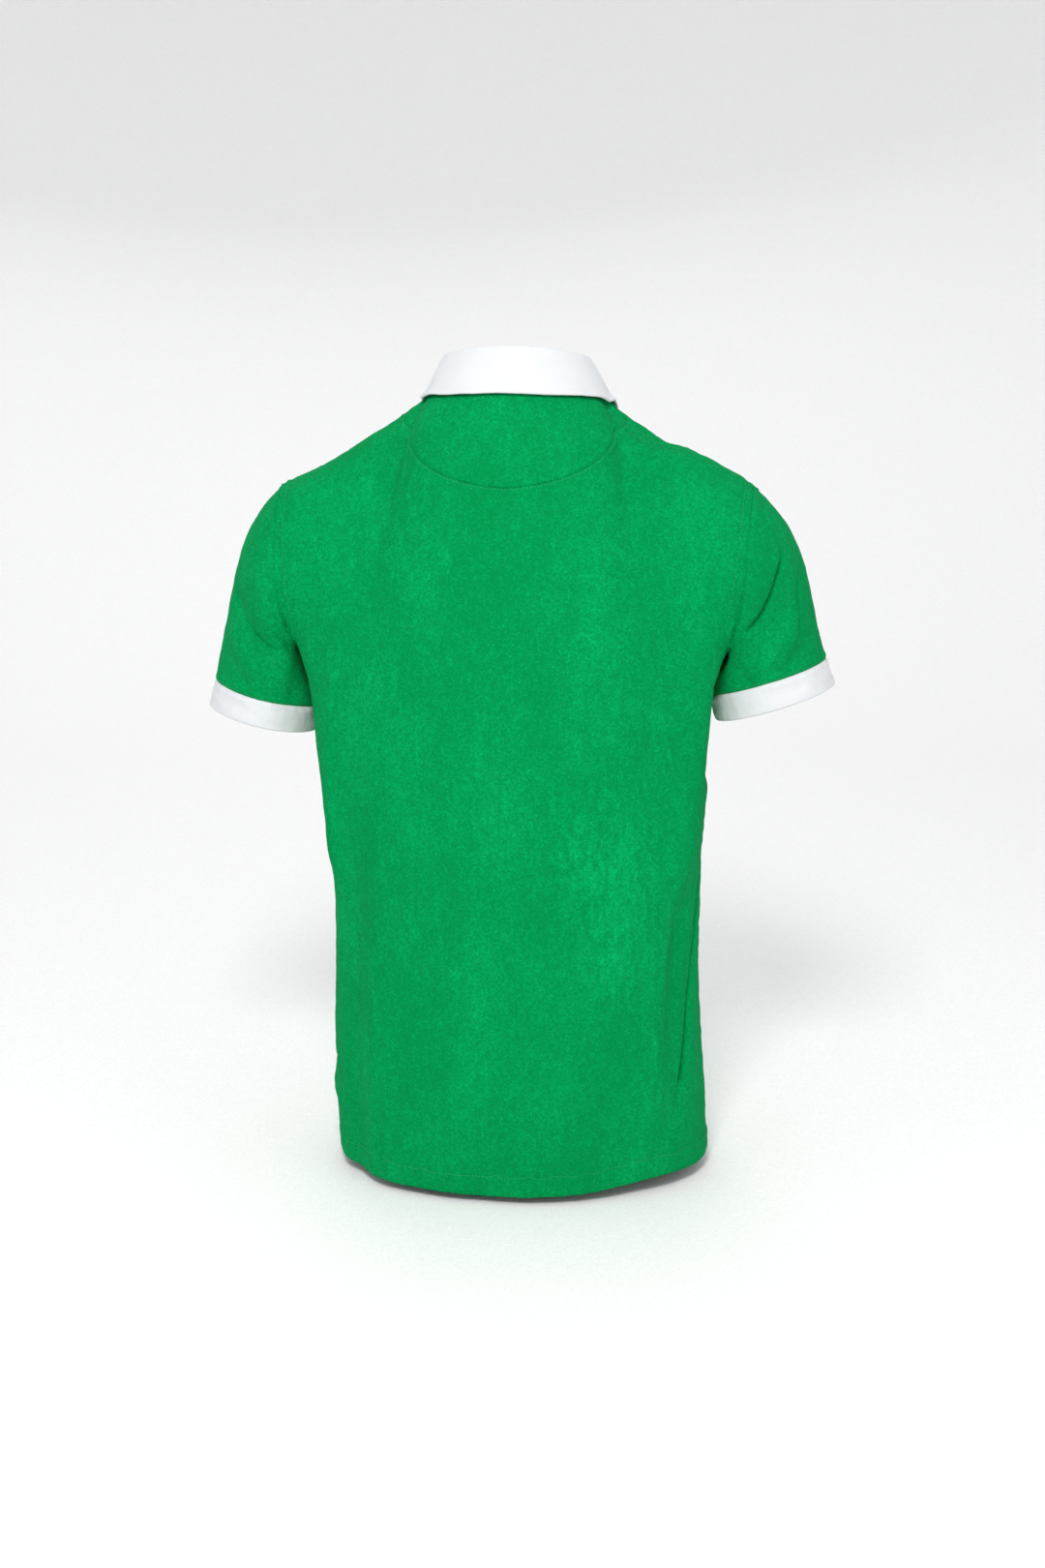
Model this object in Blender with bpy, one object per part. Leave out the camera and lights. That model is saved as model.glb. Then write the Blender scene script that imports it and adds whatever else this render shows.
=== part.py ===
"""Polo shirt in towelling, filled out as it hangs from a wearer's shoulders.

Metres, +Z up. The front faces -Y and the wearer's left is +X. The origin lies midway between the
two neck points, where the shoulder seams meet the neck seam.

Every panel is a loft between the seams that bound it. The panels share their seam points, so the
cloth runs on smoothly from piece to piece, and each edge is then drawn back from its seam by half
of the sewing gap. A wall is a panel's outer grid and the same grid moved inward by the cloth.
"""
import math
from collections import namedtuple

import bmesh
import bpy
import numpy as np

# ---------------------------------------------------------------------------------- sizes
TERRY = 0.0019            # wall of the towelling panels
RIB = 0.0018              # wall of the ribbed collar
SEAM_GAP = 0.0004         # between two pieces at a seam
LAY_GAP = 0.0004          # between a piece and the one that it lies on

NECK_HALF = 0.074         # neck seam, half width at the neck points
NECK_BACK = 0.060         # neck seam, depth behind the neck points
NECK_FRONT = 0.083        # neck seam, depth in front of the neck points
NECK_BACK_RISE = 0.010    # neck seam, height at the middle of the back
NECK_FRONT_DROP = 0.080   # neck seam, drop at the middle of the front

SHOULDER_HALF = 0.210     # shoulder seam's outer end, from the middle
SHOULDER_DROP = 0.081     # shoulder seam's outer end, below the neck point
SHOULDER_SAG = 0.25       # how far the shoulder seam hollows below a straight line
ARMPIT_Z = -0.225         # underarm point
CHEST_DIP = 0.028         # how far the row of cloth between the armpits hangs below them
HEM_SIDE_Z = -0.698
HEM_BACK_DIP = 0.006
HEM_FRONT_DIP = 0.002
HEM_LIFT = 0.009          # the hem rides up at the right of the back
HEM_LIFT_U = -0.62        # the middle of that place, across the back

PLACKET_HALF = 0.0165     # half width of the slit that the placket fills
TOP_PLACKET_HALF = 0.0175
TOP_PLACKET_TAIL = 0.012  # how far the top placket runs on below the slit
TOP_PLACKET_CLOTH = 0.0018

YOKE_HALF = 0.098         # half-moon yoke, half width along the shoulder seams
YOKE_DROP = 0.087         # half-moon yoke, drop below the back neck seam

COLLAR_STAND_BACK = 0.031
COLLAR_STAND_FRONT = 0.024
COLLAR_DROP_BACK = 0.008  # leaf's edge below the neck seam, behind
COLLAR_DROP_FRONT = 0.036 # leaf's points below the neck seam
COLLAR_SWING = 0.044      # leaf's points, out from the middle
COLLAR_END_GAP = 0.0016   # between the collar's two ends at the front
COLLAR_CLEAR = 0.0032     # between the collar's leaf and the cloth under it
LEAF_ROWS = (0.18, 0.45, 0.75, 1.0)

BUTTON_HEIGHTS = (-0.110, -0.165, -0.220)
BUTTON_RADIUS = 0.0056
BUTTON_THICK = 0.0026

# A ring of the body: middle shifted towards +X, half width, and depth behind and before the sides.
Ring = namedtuple("Ring", "z shift half_width back front")
RINGS = (
    Ring(-0.706, -0.006, 0.1730, 0.130, 0.124),
    Ring(-0.625, -0.002, 0.1730, 0.127, 0.123),
    Ring(-0.545, 0.001, 0.1695, 0.122, 0.121),
    Ring(-0.455, 0.001, 0.1690, 0.117, 0.121),
    Ring(-0.400, 0.001, 0.1710, 0.115, 0.123),
    Ring(-0.325, 0.003, 0.1790, 0.116, 0.127),
    Ring(-0.225, 0.003, 0.1870, 0.119, 0.130),
)
BACK_FULLNESS = 0.63      # 0.552 draws each quarter of a ring as an ellipse, more squares it
FRONT_FULLNESS = 0.60

# A sleeve: middle of the cuff's lower edge, lean of its axis from the vertical, radii of the cuff
# across and fore and aft, and the cuff's height.
Arm = namedtuple("Arm", "side x y z lean across fore cuff")
ARMS = (
    Arm(+1, 0.237, -0.010, -0.295, math.radians(14), 0.0510, 0.0580, 0.024),
    Arm(-1, 0.233, -0.010, -0.273, math.radians(18), 0.0555, 0.0535, 0.024),
)

# A fold: the cloth that it is in, where its line starts and ends, half its width, and its height
# (a trough is negative). It fades out over the last quarter of its line at each end.
Fold = namedtuple("Fold", "cloth x0 y0 z0 x1 y1 z1 width height")
FOLDS = (
    # under each arm the body is pressed in, and hangs from the armhole in a fold beside it
    Fold("body", 0.190, 0.000, -0.200, 0.180, 0.000, -0.365, 0.030, -0.015),
    Fold("body", -0.184, 0.000, -0.200, -0.176, 0.000, -0.355, 0.030, -0.015),
    Fold("body", 0.176, 0.052, -0.180, 0.158, 0.058, -0.470, 0.024, 0.010),
    Fold("body", -0.170, 0.052, -0.180, -0.150, 0.064, -0.460, 0.024, 0.014),
    Fold("body", 0.172, -0.062, -0.210, 0.155, -0.067, -0.480, 0.020, 0.005),
    Fold("body", -0.168, -0.062, -0.210, -0.150, -0.070, -0.440, 0.020, 0.006),
    # long soft folds down the back, and its flatter right side
    Fold("body", 0.152, 0.072, -0.330, 0.148, 0.085, -0.800, 0.016, -0.004),
    Fold("body", -0.160, 0.050, -0.430, -0.150, 0.070, -0.660, 0.012, -0.007),
    Fold("body", -0.140, 0.078, -0.430, -0.134, 0.085, -0.680, 0.014, 0.003),
    Fold("body", -0.120, 0.095, -0.420, -0.120, 0.105, -0.960, 0.050, -0.007),
    # ridge along the right shoulder
    Fold("body", -0.215, 0.004, -0.085, -0.125, 0.010, -0.044, 0.018, 0.004),
    Fold("body", -0.070, 0.010, 0.000, -0.150, 0.010, -0.060, 0.016, -0.005),
    # drag lines across the back of each sleeve
    Fold("sleeve", 0.262, 0.040, -0.165, 0.206, 0.050, -0.240, 0.012, -0.005),
    Fold("sleeve", 0.258, 0.040, -0.200, 0.210, 0.045, -0.275, 0.014, 0.004),
    Fold("sleeve", -0.246, 0.045, -0.145, -0.200, 0.055, -0.222, 0.012, -0.006),
    Fold("sleeve", -0.254, 0.040, -0.185, -0.214, 0.045, -0.255, 0.014, 0.004),
)
SLEEVE_SHARE = 0.25       # share of the sleeve's length over which body folds fade into it

# ---------------------------------------------------------------------------------- grids
NECK_STEPS = 7            # grid steps along a quarter of the neck seam
YOKE_STOPS = 3            # grid steps along the shoulder seam, over the yoke
SHOULDER_STEPS = 8        # grid steps along the rest of the shoulder seam
ARMHOLE_STEPS = 12        # grid steps up half an armhole
BODY_STEPS = 14           # grid steps from hem to armpit
SLEEVE_STEPS = 9
CUFF_STEPS = 2
YOKE_STEPS = 5

COLOURS = {
    "green": ((0.003, 0.400, 0.110, 1.0), 0.95),
    "white": ((0.800, 0.800, 0.780, 1.0), 0.90),
    "button": ((0.860, 0.860, 0.840, 1.0), 0.30),
}

UP = np.array([0.0, 0.0, 1.0])
BACKWARD = np.array([0.0, 1.0, 0.0])


def unit(vectors):
    """Vectors scaled to length 1."""
    return vectors / np.linalg.norm(vectors, axis=-1, keepdims=True)


def smooth(t):
    """Rises from 0 to 1 with level ends."""
    t = np.clip(t, 0.0, 1.0)
    return t * t * (3.0 - 2.0 * t)


def mix(start, end, t):
    return start + (end - start) * t


def bezier(p0, p1, p2, p3, t):
    """Cubic curve through p0 and p3, pulled towards p1 and p2."""
    s = 1.0 - t
    return s**3 * p0 + 3 * s * s * t * p1 + 3 * s * t * t * p2 + t**3 * p3


def ring_size(z, column):
    """One column of RINGS at the heights z, along a smooth curve through the table."""
    heights = np.array([ring.z for ring in RINGS])
    values = np.array([getattr(ring, column) for ring in RINGS])
    slopes = np.gradient(values, heights)
    z = np.clip(z, heights[0], heights[-1])
    low = np.clip(np.searchsorted(heights, z, side="right") - 1, 0, len(RINGS) - 2)
    span = heights[low + 1] - heights[low]
    t = (z - heights[low]) / span
    rise = values[low + 1] - values[low]
    ease = t * t * (3.0 - 2.0 * t)
    start = t * (1.0 - t) ** 2 * slopes[low] * span
    finish = t * t * (1.0 - t) * slopes[low + 1] * span
    return values[low] + rise * ease + start - finish


# ---------------------------------------------------------------------------------- body
def ring_points(face, u, z):
    """Body ring at height z. face is +1 on the back, -1 on the front; u runs -1 to 1 across."""
    half = ring_size(z, "half_width")
    depth = ring_size(z, "back" if face > 0 else "front")
    full = BACK_FULLNESS if face > 0 else FRONT_FULLNESS
    t = np.abs(u)
    x = bezier(0.0, full, 1.0, 1.0, t) * half * np.sign(u) + ring_size(z, "shift")
    y = bezier(1.0, 1.0, full, 0.0, t) * depth * face
    return np.stack(np.broadcast_arrays(x, y, z), axis=-1)


def neck_point(face, angle):
    """Neck seam, from the middle of the back or front (angle 0) to a neck point (90 degrees)."""
    depth = NECK_BACK if face > 0 else NECK_FRONT
    rise = NECK_BACK_RISE if face > 0 else -NECK_FRONT_DROP
    return np.stack([NECK_HALF * np.sin(angle), face * depth * np.cos(angle),
                     rise * np.abs(np.cos(angle)) ** 1.5], axis=-1)


def shoulder_point(t):
    """Shoulder seam, from the neck point (0) to the armhole (1)."""
    x = mix(NECK_HALF, SHOULDER_HALF, t)
    z = -SHOULDER_DROP * (t + SHOULDER_SAG * t * (1.0 - t))
    return np.stack([x, np.zeros_like(x), z], axis=-1)


def neck_share(face):
    """How much of a panel's top edge, from 0 to 1, the neck seam takes."""
    return 0.40 if face > 0 else 0.45


def top_edge(face, u):
    """Top of a panel: its points, the way the cloth runs up to them, and how stiffly it does."""
    share = neck_share(face)
    t = np.abs(u)[..., None]
    along_neck = np.clip(t / share, 0.0, 1.0)
    along_shoulder = np.clip((t - share) / (1.0 - share), 0.0, 1.0)
    on_neck = neck_point(face, along_neck[..., 0] * math.pi / 2)
    on_shoulder = shoulder_point(along_shoulder[..., 0])
    points = np.where(t <= share, on_neck, on_shoulder)

    slope = unit(shoulder_point(np.array(0.1)) - shoulder_point(np.array(0.0)))
    inward = 0.5 * (1.0 - along_shoulder) ** 2
    over = -face * BACKWARD * (1.0 - 0.5 * inward) - slope * inward
    rise = np.array([0.0, -0.45, 0.89]) if face > 0 else np.array([0.0, 0.50, 0.87])
    runs = unit(mix(rise, over, smooth(along_neck)))
    neck_pull = mix(0.060, 0.045, along_neck)
    reach = mix(neck_pull, 0.085 if face > 0 else 0.075, smooth(along_shoulder))

    turn = np.stack([np.where(u < 0, -1.0, 1.0), np.ones_like(u), np.ones_like(u)], axis=-1)
    return points * turn, runs * turn, reach


def chest_height(u):
    """Height of the row between the armpits: level across the body, and rising to each armpit."""
    return ARMPIT_Z - CHEST_DIP * (1.0 - u**6)


def chest_points(face, u, v):
    """Panel above the armpits. v runs from 0 at the armpits to 1 at the neck and shoulders."""
    foot = ring_points(face, u, chest_height(u))
    below = ring_points(face, u, chest_height(u) - 0.02)
    top, runs, reach = top_edge(face, u)
    climb = (foot - below) / 0.02 * 0.095
    round_arm = np.array([0.020, face * (0.100 if face > 0 else 0.088), 0.0])
    round_arm = np.where(u[..., None] < 0, round_arm * [-1, 1, 1], round_arm)
    edge = np.abs(u)[..., None] ** 3.5
    return bezier(foot, foot + mix(climb, round_arm, edge), top - runs * reach, top, v[..., None])


def body_points(face, u, v):
    """Whole panel. v is -1 at the hem, 0 at the armpits and 1 at the neck and shoulders."""
    dip = HEM_BACK_DIP if face > 0 else HEM_FRONT_DIP
    hem = HEM_SIDE_Z - dip * (1.0 - u * u)
    if face > 0:
        hem = hem + HEM_LIFT * np.exp(-(((u - HEM_LIFT_U) / 0.3) ** 2)) * (1.0 - u * u)
    below = ring_points(face, u, mix(chest_height(u), hem, np.clip(-v, 0.0, 1.0)))
    above = chest_points(face, u, np.clip(v, 0.0, 1.0))
    return np.where(v[..., None] < 0, below, above)


def yoke_edge(u):
    """The v at which the half-moon seam crosses the back: a half ellipse hung from the top."""
    share = neck_share(1)
    half = share + (1.0 - share) * (YOKE_HALF - NECK_HALF) / (SHOULDER_HALF - NECK_HALF)
    middle = np.linspace(0.0, 1.0, 200)
    height = chest_points(1, np.zeros(200), middle)[:, 2]
    depth = 1.0 - np.interp(NECK_BACK_RISE - YOKE_DROP, height, middle)
    return 1.0 - depth * np.sqrt(np.clip(1.0 - (u / half) ** 2, 0.0, 1.0)), half


def shoulder_stops():
    """Grid stops along the shoulder seam, from 0 at the neck point to 1: the yoke's, then the rest."""
    yoke = (YOKE_HALF - NECK_HALF) / (SHOULDER_HALF - NECK_HALF)
    over_yoke = yoke * np.sin(np.linspace(0.0, math.pi / 2, YOKE_STOPS + 1))
    return np.concatenate([over_yoke, np.linspace(yoke, 1.0, SHOULDER_STEPS + 1)[1:]])


def both_halves(right_half):
    """Stops on both sides of the middle, from those on one side with the middle first."""
    return np.concatenate([-right_half[..., :0:-1], right_half], axis=-1)


def back_stops():
    share = neck_share(1)
    neck = np.linspace(0.0, share, NECK_STEPS + 1)
    return both_halves(np.concatenate([neck, mix(share, 1.0, shoulder_stops()[1:])]))


def middle_stop(v, x):
    """The u at which each row of the front lies at the distance x from the middle."""
    fine = np.linspace(0.0, 0.4, 81)
    rows = [body_points(-1, fine, np.full_like(fine, row))[:, 0] for row in v]
    shifts = [row[0] for row in rows]
    return np.array([np.interp(x, row - shift, fine) for row, shift in zip(rows, shifts)])


def front_stops(v):
    """Grid stops of the front, a row for each v, with a straight column at each slit edge."""
    share = neck_share(-1)
    slit = middle_stop(v, PLACKET_HALF)[:, None]
    neck = mix(slit, share, np.linspace(0.0, 1.0, NECK_STEPS)[None, :])
    shoulder = np.repeat(mix(share, 1.0, shoulder_stops()[None, 1:]), len(v), axis=0)
    return both_halves(np.concatenate([np.zeros_like(slit), neck, shoulder], axis=1))


# ---------------------------------------------------------------------------------- sleeves
def arm_frame(arm):
    """Axis down the sleeve, direction across its mouth, and the middle of the cuff's top."""
    axis = np.array([arm.side * math.sin(arm.lean), 0.0, -math.cos(arm.lean)])
    across = np.array([arm.side * math.cos(arm.lean), 0.0, math.sin(arm.lean)])
    top = np.array([arm.side * arm.x, arm.y, arm.z]) - axis * arm.cuff
    return axis, across, top


def cuff_ring(arm, angle):
    """Ring at the cuff's top: angle 0 is outermost, 90 degrees is at the back."""
    _, across, top = arm_frame(arm)
    return (top + np.cos(angle)[..., None] * arm.across * across
            + np.sin(angle)[..., None] * arm.fore * BACKWARD)


def sleeve_points(arm, hole, angle, t):
    """Sleeve from its armhole (t 0) to its cuff (t 1), for the ring angles of the hole's points."""
    axis, _, _ = arm_frame(arm)
    above = 0.5 + 0.5 * np.cos(angle)[..., None]
    outward = np.array([arm.side * 0.80, 0.0, -0.60])
    inward = np.array([arm.side * 0.35, 0.0, -0.94])
    sideways = np.sin(angle)[..., None] * BACKWARD * 0.10
    leaves = unit(mix(inward, outward, above) + sideways)
    mouth = cuff_ring(arm, angle)
    leave_pull = mix(0.018, 0.060, above)
    mouth_pull = mix(0.018, 0.070, above)
    return bezier(hole, hole + leaves * leave_pull, mouth - axis * mouth_pull, mouth, t)


def cuff_points(arm, angle, t):
    """Cuff from its seam (t 0) to its edge (t 1), standing a little fuller than the sleeve."""
    axis, _, top = arm_frame(arm)
    ring = cuff_ring(arm, angle)
    swell = 1.0 + 0.018 * np.sin(t * math.pi / 2)
    return top + (ring - top) * swell + axis * arm.cuff * t


# ---------------------------------------------------------------------------------- the cloth
def relief(points, normals, into_sleeve):
    """Height of the folds at points of the cloth: a bell across each line, fading at its ends."""
    total = np.zeros(len(points))
    on_sleeve = smooth(into_sleeve / SLEEVE_SHARE)
    for fold in FOLDS:
        start = np.array([fold.x0, fold.y0, fold.z0])
        line = np.array([fold.x1, fold.y1, fold.z1]) - start
        along = (points - start) @ line / (line @ line)
        away = points - start - np.clip(along, 0.0, 1.0)[:, None] * line
        through = np.sum(away * normals, axis=1)
        aside = np.sqrt(np.maximum(np.sum(away * away, axis=1) - through**2, 0.0))
        ends = smooth(along / 0.25) * smooth((1.0 - along) / 0.25)
        near = np.exp(-((through / 0.05) ** 4))
        cloth = on_sleeve if fold.cloth == "sleeve" else 1.0 - on_sleeve
        total += fold.height * np.exp(-((aside / fold.width) ** 2)) * ends * near * cloth
    return total


class Panel:
    """Outer grid of one panel, rows up and columns across, and how its quads are made."""

    def __init__(self, points, turned=False, closed=False, keep=None, group="body"):
        self.points = points
        self.turned = turned
        self.closed = closed
        self.keep = keep
        self.group = group
        self.into_sleeve = np.zeros(points.shape[:2])


class Cloth:
    """The sewn panels, as grids of indices into one list of points that they share at seams."""

    def __init__(self, panels):
        self.panels = panels
        stacked = np.concatenate([panel.points.reshape(-1, 3) for panel in panels.values()])
        sleeve = np.concatenate([panel.into_sleeve.reshape(-1) for panel in panels.values()])
        rounded = np.round(stacked + 1.0e-8, 7)
        _, first, shared = np.unique(rounded, axis=0, return_index=True, return_inverse=True)
        shared = shared.reshape(-1)
        self.points = stacked[first]
        self.into_sleeve = np.ones(len(first))
        np.minimum.at(self.into_sleeve, shared, sleeve)
        self.index = {}
        self.faces = {}
        start = 0
        for name, panel in panels.items():
            shape = panel.points.shape[:2]
            index = shared[start:start + shape[0] * shape[1]].reshape(shape)
            start += shape[0] * shape[1]
            self.index[name] = index
            self.faces[name] = grid_faces(index, panel.turned, panel.closed, panel.keep)

    def normals(self):
        """Outward normals of the points: the body's, each sleeve's and each cuff's count alike."""
        groups = {}
        for name, panel in self.panels.items():
            total = groups.setdefault(panel.group, np.zeros_like(self.points))
            faces = self.faces[name]
            p = self.points[faces]
            face_normals = np.cross(p[:, 2] - p[:, 0], p[:, 3] - p[:, 1])
            for corner in range(4):
                np.add.at(total, faces[:, corner], face_normals)
        mean = np.zeros_like(self.points)
        for total in groups.values():
            mean += total / np.maximum(np.linalg.norm(total, axis=1, keepdims=True), 1.0e-12)
        return unit(mean)


def grid_faces(index, turned, closed, keep):
    """Quads of a grid of indices, rows up and columns across."""
    if closed:
        index = np.concatenate([index, index[:, :1]], axis=1)
    low, high = index[:-1], index[1:]
    quads = np.stack([low[:, :-1], low[:, 1:], high[:, 1:], high[:, :-1]], axis=-1)
    if turned:
        quads = quads[..., ::-1]
    quads = quads.reshape(-1, 4)
    return quads if keep is None else quads[keep.reshape(-1)]


def draw_back(cloth, normals, seam, panels, closed=False):
    """Shift of each panel's points away from a seam, square to the seam and to its normals."""
    points = cloth.points[seam]
    ahead = np.roll(points, -1, axis=0) - points
    behind = points - np.roll(points, 1, axis=0)
    if not closed:
        ahead[-1], behind[0] = behind[-1], ahead[0]
    square = unit(np.cross(normals[seam], unit(ahead) + unit(behind)))
    place = np.full(len(cloth.points), -1)
    place[seam] = np.arange(len(seam))
    shifts = {}
    for panel in panels:
        faces = cloth.faces[panel]
        centres = cloth.points[faces].mean(axis=1)
        side = 0.0
        for corner in range(4):
            at = place[faces[:, corner]]
            met = at >= 0
            side += np.sum((centres[met] - points[at[met]]) * square[at[met]])
        shifts[panel] = square * math.copysign(SEAM_GAP / 2, side)
    return shifts


def triangles(quads, points):
    """Each quad cut along its shorter diagonal; a quad with two like corners gives one triangle."""
    corners = points[quads]
    first = np.linalg.norm(corners[:, 0] - corners[:, 2], axis=1)
    second = np.linalg.norm(corners[:, 1] - corners[:, 3], axis=1)
    turned = np.where((first <= second)[:, None], quads, np.roll(quads, -1, axis=1))
    halves = np.concatenate([turned[:, [0, 1, 2]], turned[:, [0, 2, 3]]])
    a, b, c = halves.T
    return halves[(a != b) & (b != c) & (c != a)]


def wall(name, outer, inner, faces, finish):
    """Closed body between two copies of the same faces, with a strip round every free edge."""
    used, local = np.unique(faces, return_inverse=True)
    quads = local.reshape(faces.shape)
    count = len(used)
    edges = np.concatenate([quads[:, [k, (k + 1) % 4]] for k in range(4)])
    edges = edges[edges[:, 0] != edges[:, 1]]
    key = edges[:, 0] * count + edges[:, 1]
    reverse = edges[:, 1] * count + edges[:, 0]
    free = edges[~np.isin(key, reverse)]
    points = np.concatenate([outer[used], inner[used]])
    skin = triangles(quads, points)
    rim = np.stack([free[:, 1], free[:, 0], free[:, 0] + count, free[:, 1] + count], axis=1)
    return add_mesh(name, points, np.concatenate([skin, skin[:, ::-1] + count,
                                                  triangles(rim, points)]), finish)


def add_mesh(name, points, faces, finish):
    mesh = bpy.data.meshes.new(name)
    mesh.from_pydata(points.tolist(), [], faces.tolist())
    mesh.shade_smooth()
    mesh.set_sharp_from_angle(angle=math.radians(50))
    piece = bpy.data.objects.new(name, mesh)
    piece.data.materials.append(material(name, finish))
    return piece


def material(name, finish):
    colour, roughness = COLOURS[finish]
    new = bpy.data.materials.new(name)
    new.use_nodes = True
    shader = new.node_tree.nodes["Principled BSDF"]
    shader.inputs["Base Color"].default_value = colour
    shader.inputs["Roughness"].default_value = roughness
    shader.inputs["Metallic"].default_value = 0.0
    return new


# ---------------------------------------------------------------------------------- panels
def cut_panels():
    """Outer grids of every sewn panel, rows from the hem up and columns from -X to +X."""
    low_rows = np.linspace(-1.0, 0.0, BODY_STEPS + 1)
    high_rows = np.linspace(0.0, 1.0, ARMHOLE_STEPS + 1)[1:]
    across = back_stops()
    seam, half = yoke_edge(across)
    u = np.repeat(across[None, :], len(low_rows) + len(high_rows), axis=0)
    v = np.concatenate([np.repeat(low_rows[:, None], len(across), axis=1),
                        high_rows[:, None] * seam[None, :]])
    back = body_points(1, u, v)

    yoke_across = across[np.abs(across) < half + 1.0e-6]
    yoke_rows = np.linspace(0.0, 1.0, YOKE_STEPS + 1)[:, None]
    yoke_v = mix(yoke_edge(yoke_across)[0][None, :], 1.0, yoke_rows)
    yoke = body_points(1, np.repeat(yoke_across[None, :], YOKE_STEPS + 1, axis=0), yoke_v)

    rows = np.concatenate([low_rows, high_rows])
    front_u = front_stops(rows)
    front = body_points(-1, front_u, np.repeat(rows[:, None], front_u.shape[1], axis=1))
    middle = front_u.shape[1] // 2
    slit = np.ones((len(rows) - 1, front_u.shape[1] - 1), dtype=bool)
    slit[BODY_STEPS:, middle - 1:middle + 1] = False
    under = front[BODY_STEPS:, middle - 1:middle + 2]

    panels = {
        "back": Panel(back, turned=True),
        "back_yoke": Panel(yoke, turned=True),
        "front": Panel(front, keep=slit),
        "placket_under": Panel(under),
    }
    for arm in ARMS:
        column = -1 if arm.side > 0 else 0
        word = "left" if arm.side > 0 else "right"
        rise = back[BODY_STEPS:, column]
        fall = front[BODY_STEPS + 1:-1, column][::-1]
        hole = np.concatenate([rise, fall])
        angle = math.pi * (1.0 - np.arange(2 * ARMHOLE_STEPS) / ARMHOLE_STEPS)
        t = np.linspace(0.0, 1.0, SLEEVE_STEPS + 1)[:, None, None]
        sleeve = sleeve_points(arm, hole[None], angle[None], t)
        cuff = cuff_points(arm, angle[None], np.linspace(0.0, 1.0, CUFF_STEPS + 1)[:, None, None])
        for name, points in (("sleeve_" + word, sleeve), ("cuff_" + word, cuff)):
            panels[name] = Panel(points, turned=arm.side < 0, closed=True, group=name)
        panels["sleeve_" + word].into_sleeve += t[:, :, 0]
        panels["cuff_" + word].into_sleeve += 1.0
    return panels


def seams(cloth):
    """Each seam's points in order, the panels it joins, and whether it closes on itself."""
    back, front = cloth.index["back"], cloth.index["front"]
    yoke = cloth.index["back_yoke"]
    middle = front.shape[1] // 2
    shoulder = len(shoulder_stops()) - 1
    found = []
    for column, neck_side in ((0, slice(0, shoulder + 1)), (-1, slice(-shoulder - 1, None))):
        found.append((back[:BODY_STEPS + 1, column], ("back", "front"), False))
        found.append((front[-1, neck_side], ("back", "back_yoke", "front"), False))
    found.append((yoke[0], ("back", "back_yoke"), False))
    slit_foot = front[BODY_STEPS, middle - 1:middle + 2]
    found.append((slit_foot, ("front", "placket_under"), False))
    for column in (middle - 1, middle + 1):
        found.append((front[BODY_STEPS:, column], ("front", "placket_under"), False))
    for word in ("left", "right"):
        hole = cloth.index["sleeve_" + word][0]
        found.append((hole, ("back", "front", "sleeve_" + word), True))
        found.append((cloth.index["cuff_" + word][0], ("sleeve_" + word, "cuff_" + word), True))
    neck = neck_seam(cloth)
    found.append((neck, ("front", "placket_under", "back_yoke"), True))
    return found


def neck_seam(cloth):
    """Indices round the neck seam, from the middle front over the left shoulder and back again."""
    front, yoke = cloth.index["front"][-1], cloth.index["back_yoke"][-1]
    middle = len(front) // 2
    left_front = front[middle:middle + NECK_STEPS + 1]
    centre = len(yoke) // 2
    round_back = yoke[centre - NECK_STEPS:centre + NECK_STEPS][::-1]
    right_front = front[middle - NECK_STEPS + 1:middle]
    return np.concatenate([left_front, round_back, right_front])


def build_panels():
    """Walls of all sewn panels, and the neck seam's points and directions for the collar."""
    cloth = Cloth(cut_panels())
    smooth_normals = cloth.normals()
    height = relief(cloth.points, smooth_normals, cloth.into_sleeve)
    cloth.points = cloth.points + smooth_normals * height[:, None]
    normals = cloth.normals()
    shift = {name: np.zeros_like(cloth.points) for name in cloth.panels}
    for seam, panels, closed in seams(cloth):
        for panel, move in draw_back(cloth, normals, seam, panels, closed).items():
            shift[panel][seam] += move
    pieces = []
    for name in cloth.panels:
        outer = cloth.points + shift[name]
        finish = "white" if name.startswith("cuff") else "green"
        pieces.append(wall(name, outer, outer - normals * TERRY, cloth.faces[name], finish))
    return cloth, normals, shift, pieces


# ---------------------------------------------------------------------------------- collar
class Bed:
    """Dense sample of the cloth's outer faces round the neck, for what lies on it."""

    def __init__(self, cloth, normals, fine=6):
        names = ("front", "placket_under", "back_yoke", "back")
        faces = np.concatenate([cloth.faces[name] for name in names])
        faces = faces[cloth.points[faces][:, :, 2].min(axis=1) > ARMPIT_Z]
        s, t = np.meshgrid(np.linspace(0.0, 1.0, fine), np.linspace(0.0, 1.0, fine))
        share = np.stack([(1 - s) * (1 - t), s * (1 - t), s * t, (1 - s) * t], axis=-1)
        share = share.reshape(-1, 4)
        self.points = np.einsum("kc,fcd->fkd", share, cloth.points[faces]).reshape(-1, 3)
        self.normals = unit(np.einsum("kc,fcd->fkd", share, normals[faces]).reshape(-1, 3))
        on_placket = (np.abs(self.points[:, 0]) < TOP_PLACKET_HALF + 0.002) & (self.points[:, 1] < 0)
        lift = np.where(on_placket, LAY_GAP + TOP_PLACKET_CLOTH, 0.0)
        self.points += self.normals * lift[:, None]

    def height(self, points):
        """Height of points over the nearest place of the bed, and the bed's normals there."""
        away = points[:, None, :] - self.points[None, :, :]
        nearest = np.argmin(np.sum(away * away, axis=2), axis=1)
        normals = self.normals[nearest]
        return np.sum((points - self.points[nearest]) * normals, axis=1), normals

    def settle(self, points, least, most=None):
        """Points moved out to the height least, and in to the height most where one is given."""
        for _ in range(3):
            height, normals = self.height(points)
            goal = np.maximum(height, least)
            if most is not None:
                goal = np.minimum(goal, np.maximum(most, least))
            points = points + normals * (goal - height)[:, None]
        return points


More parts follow.
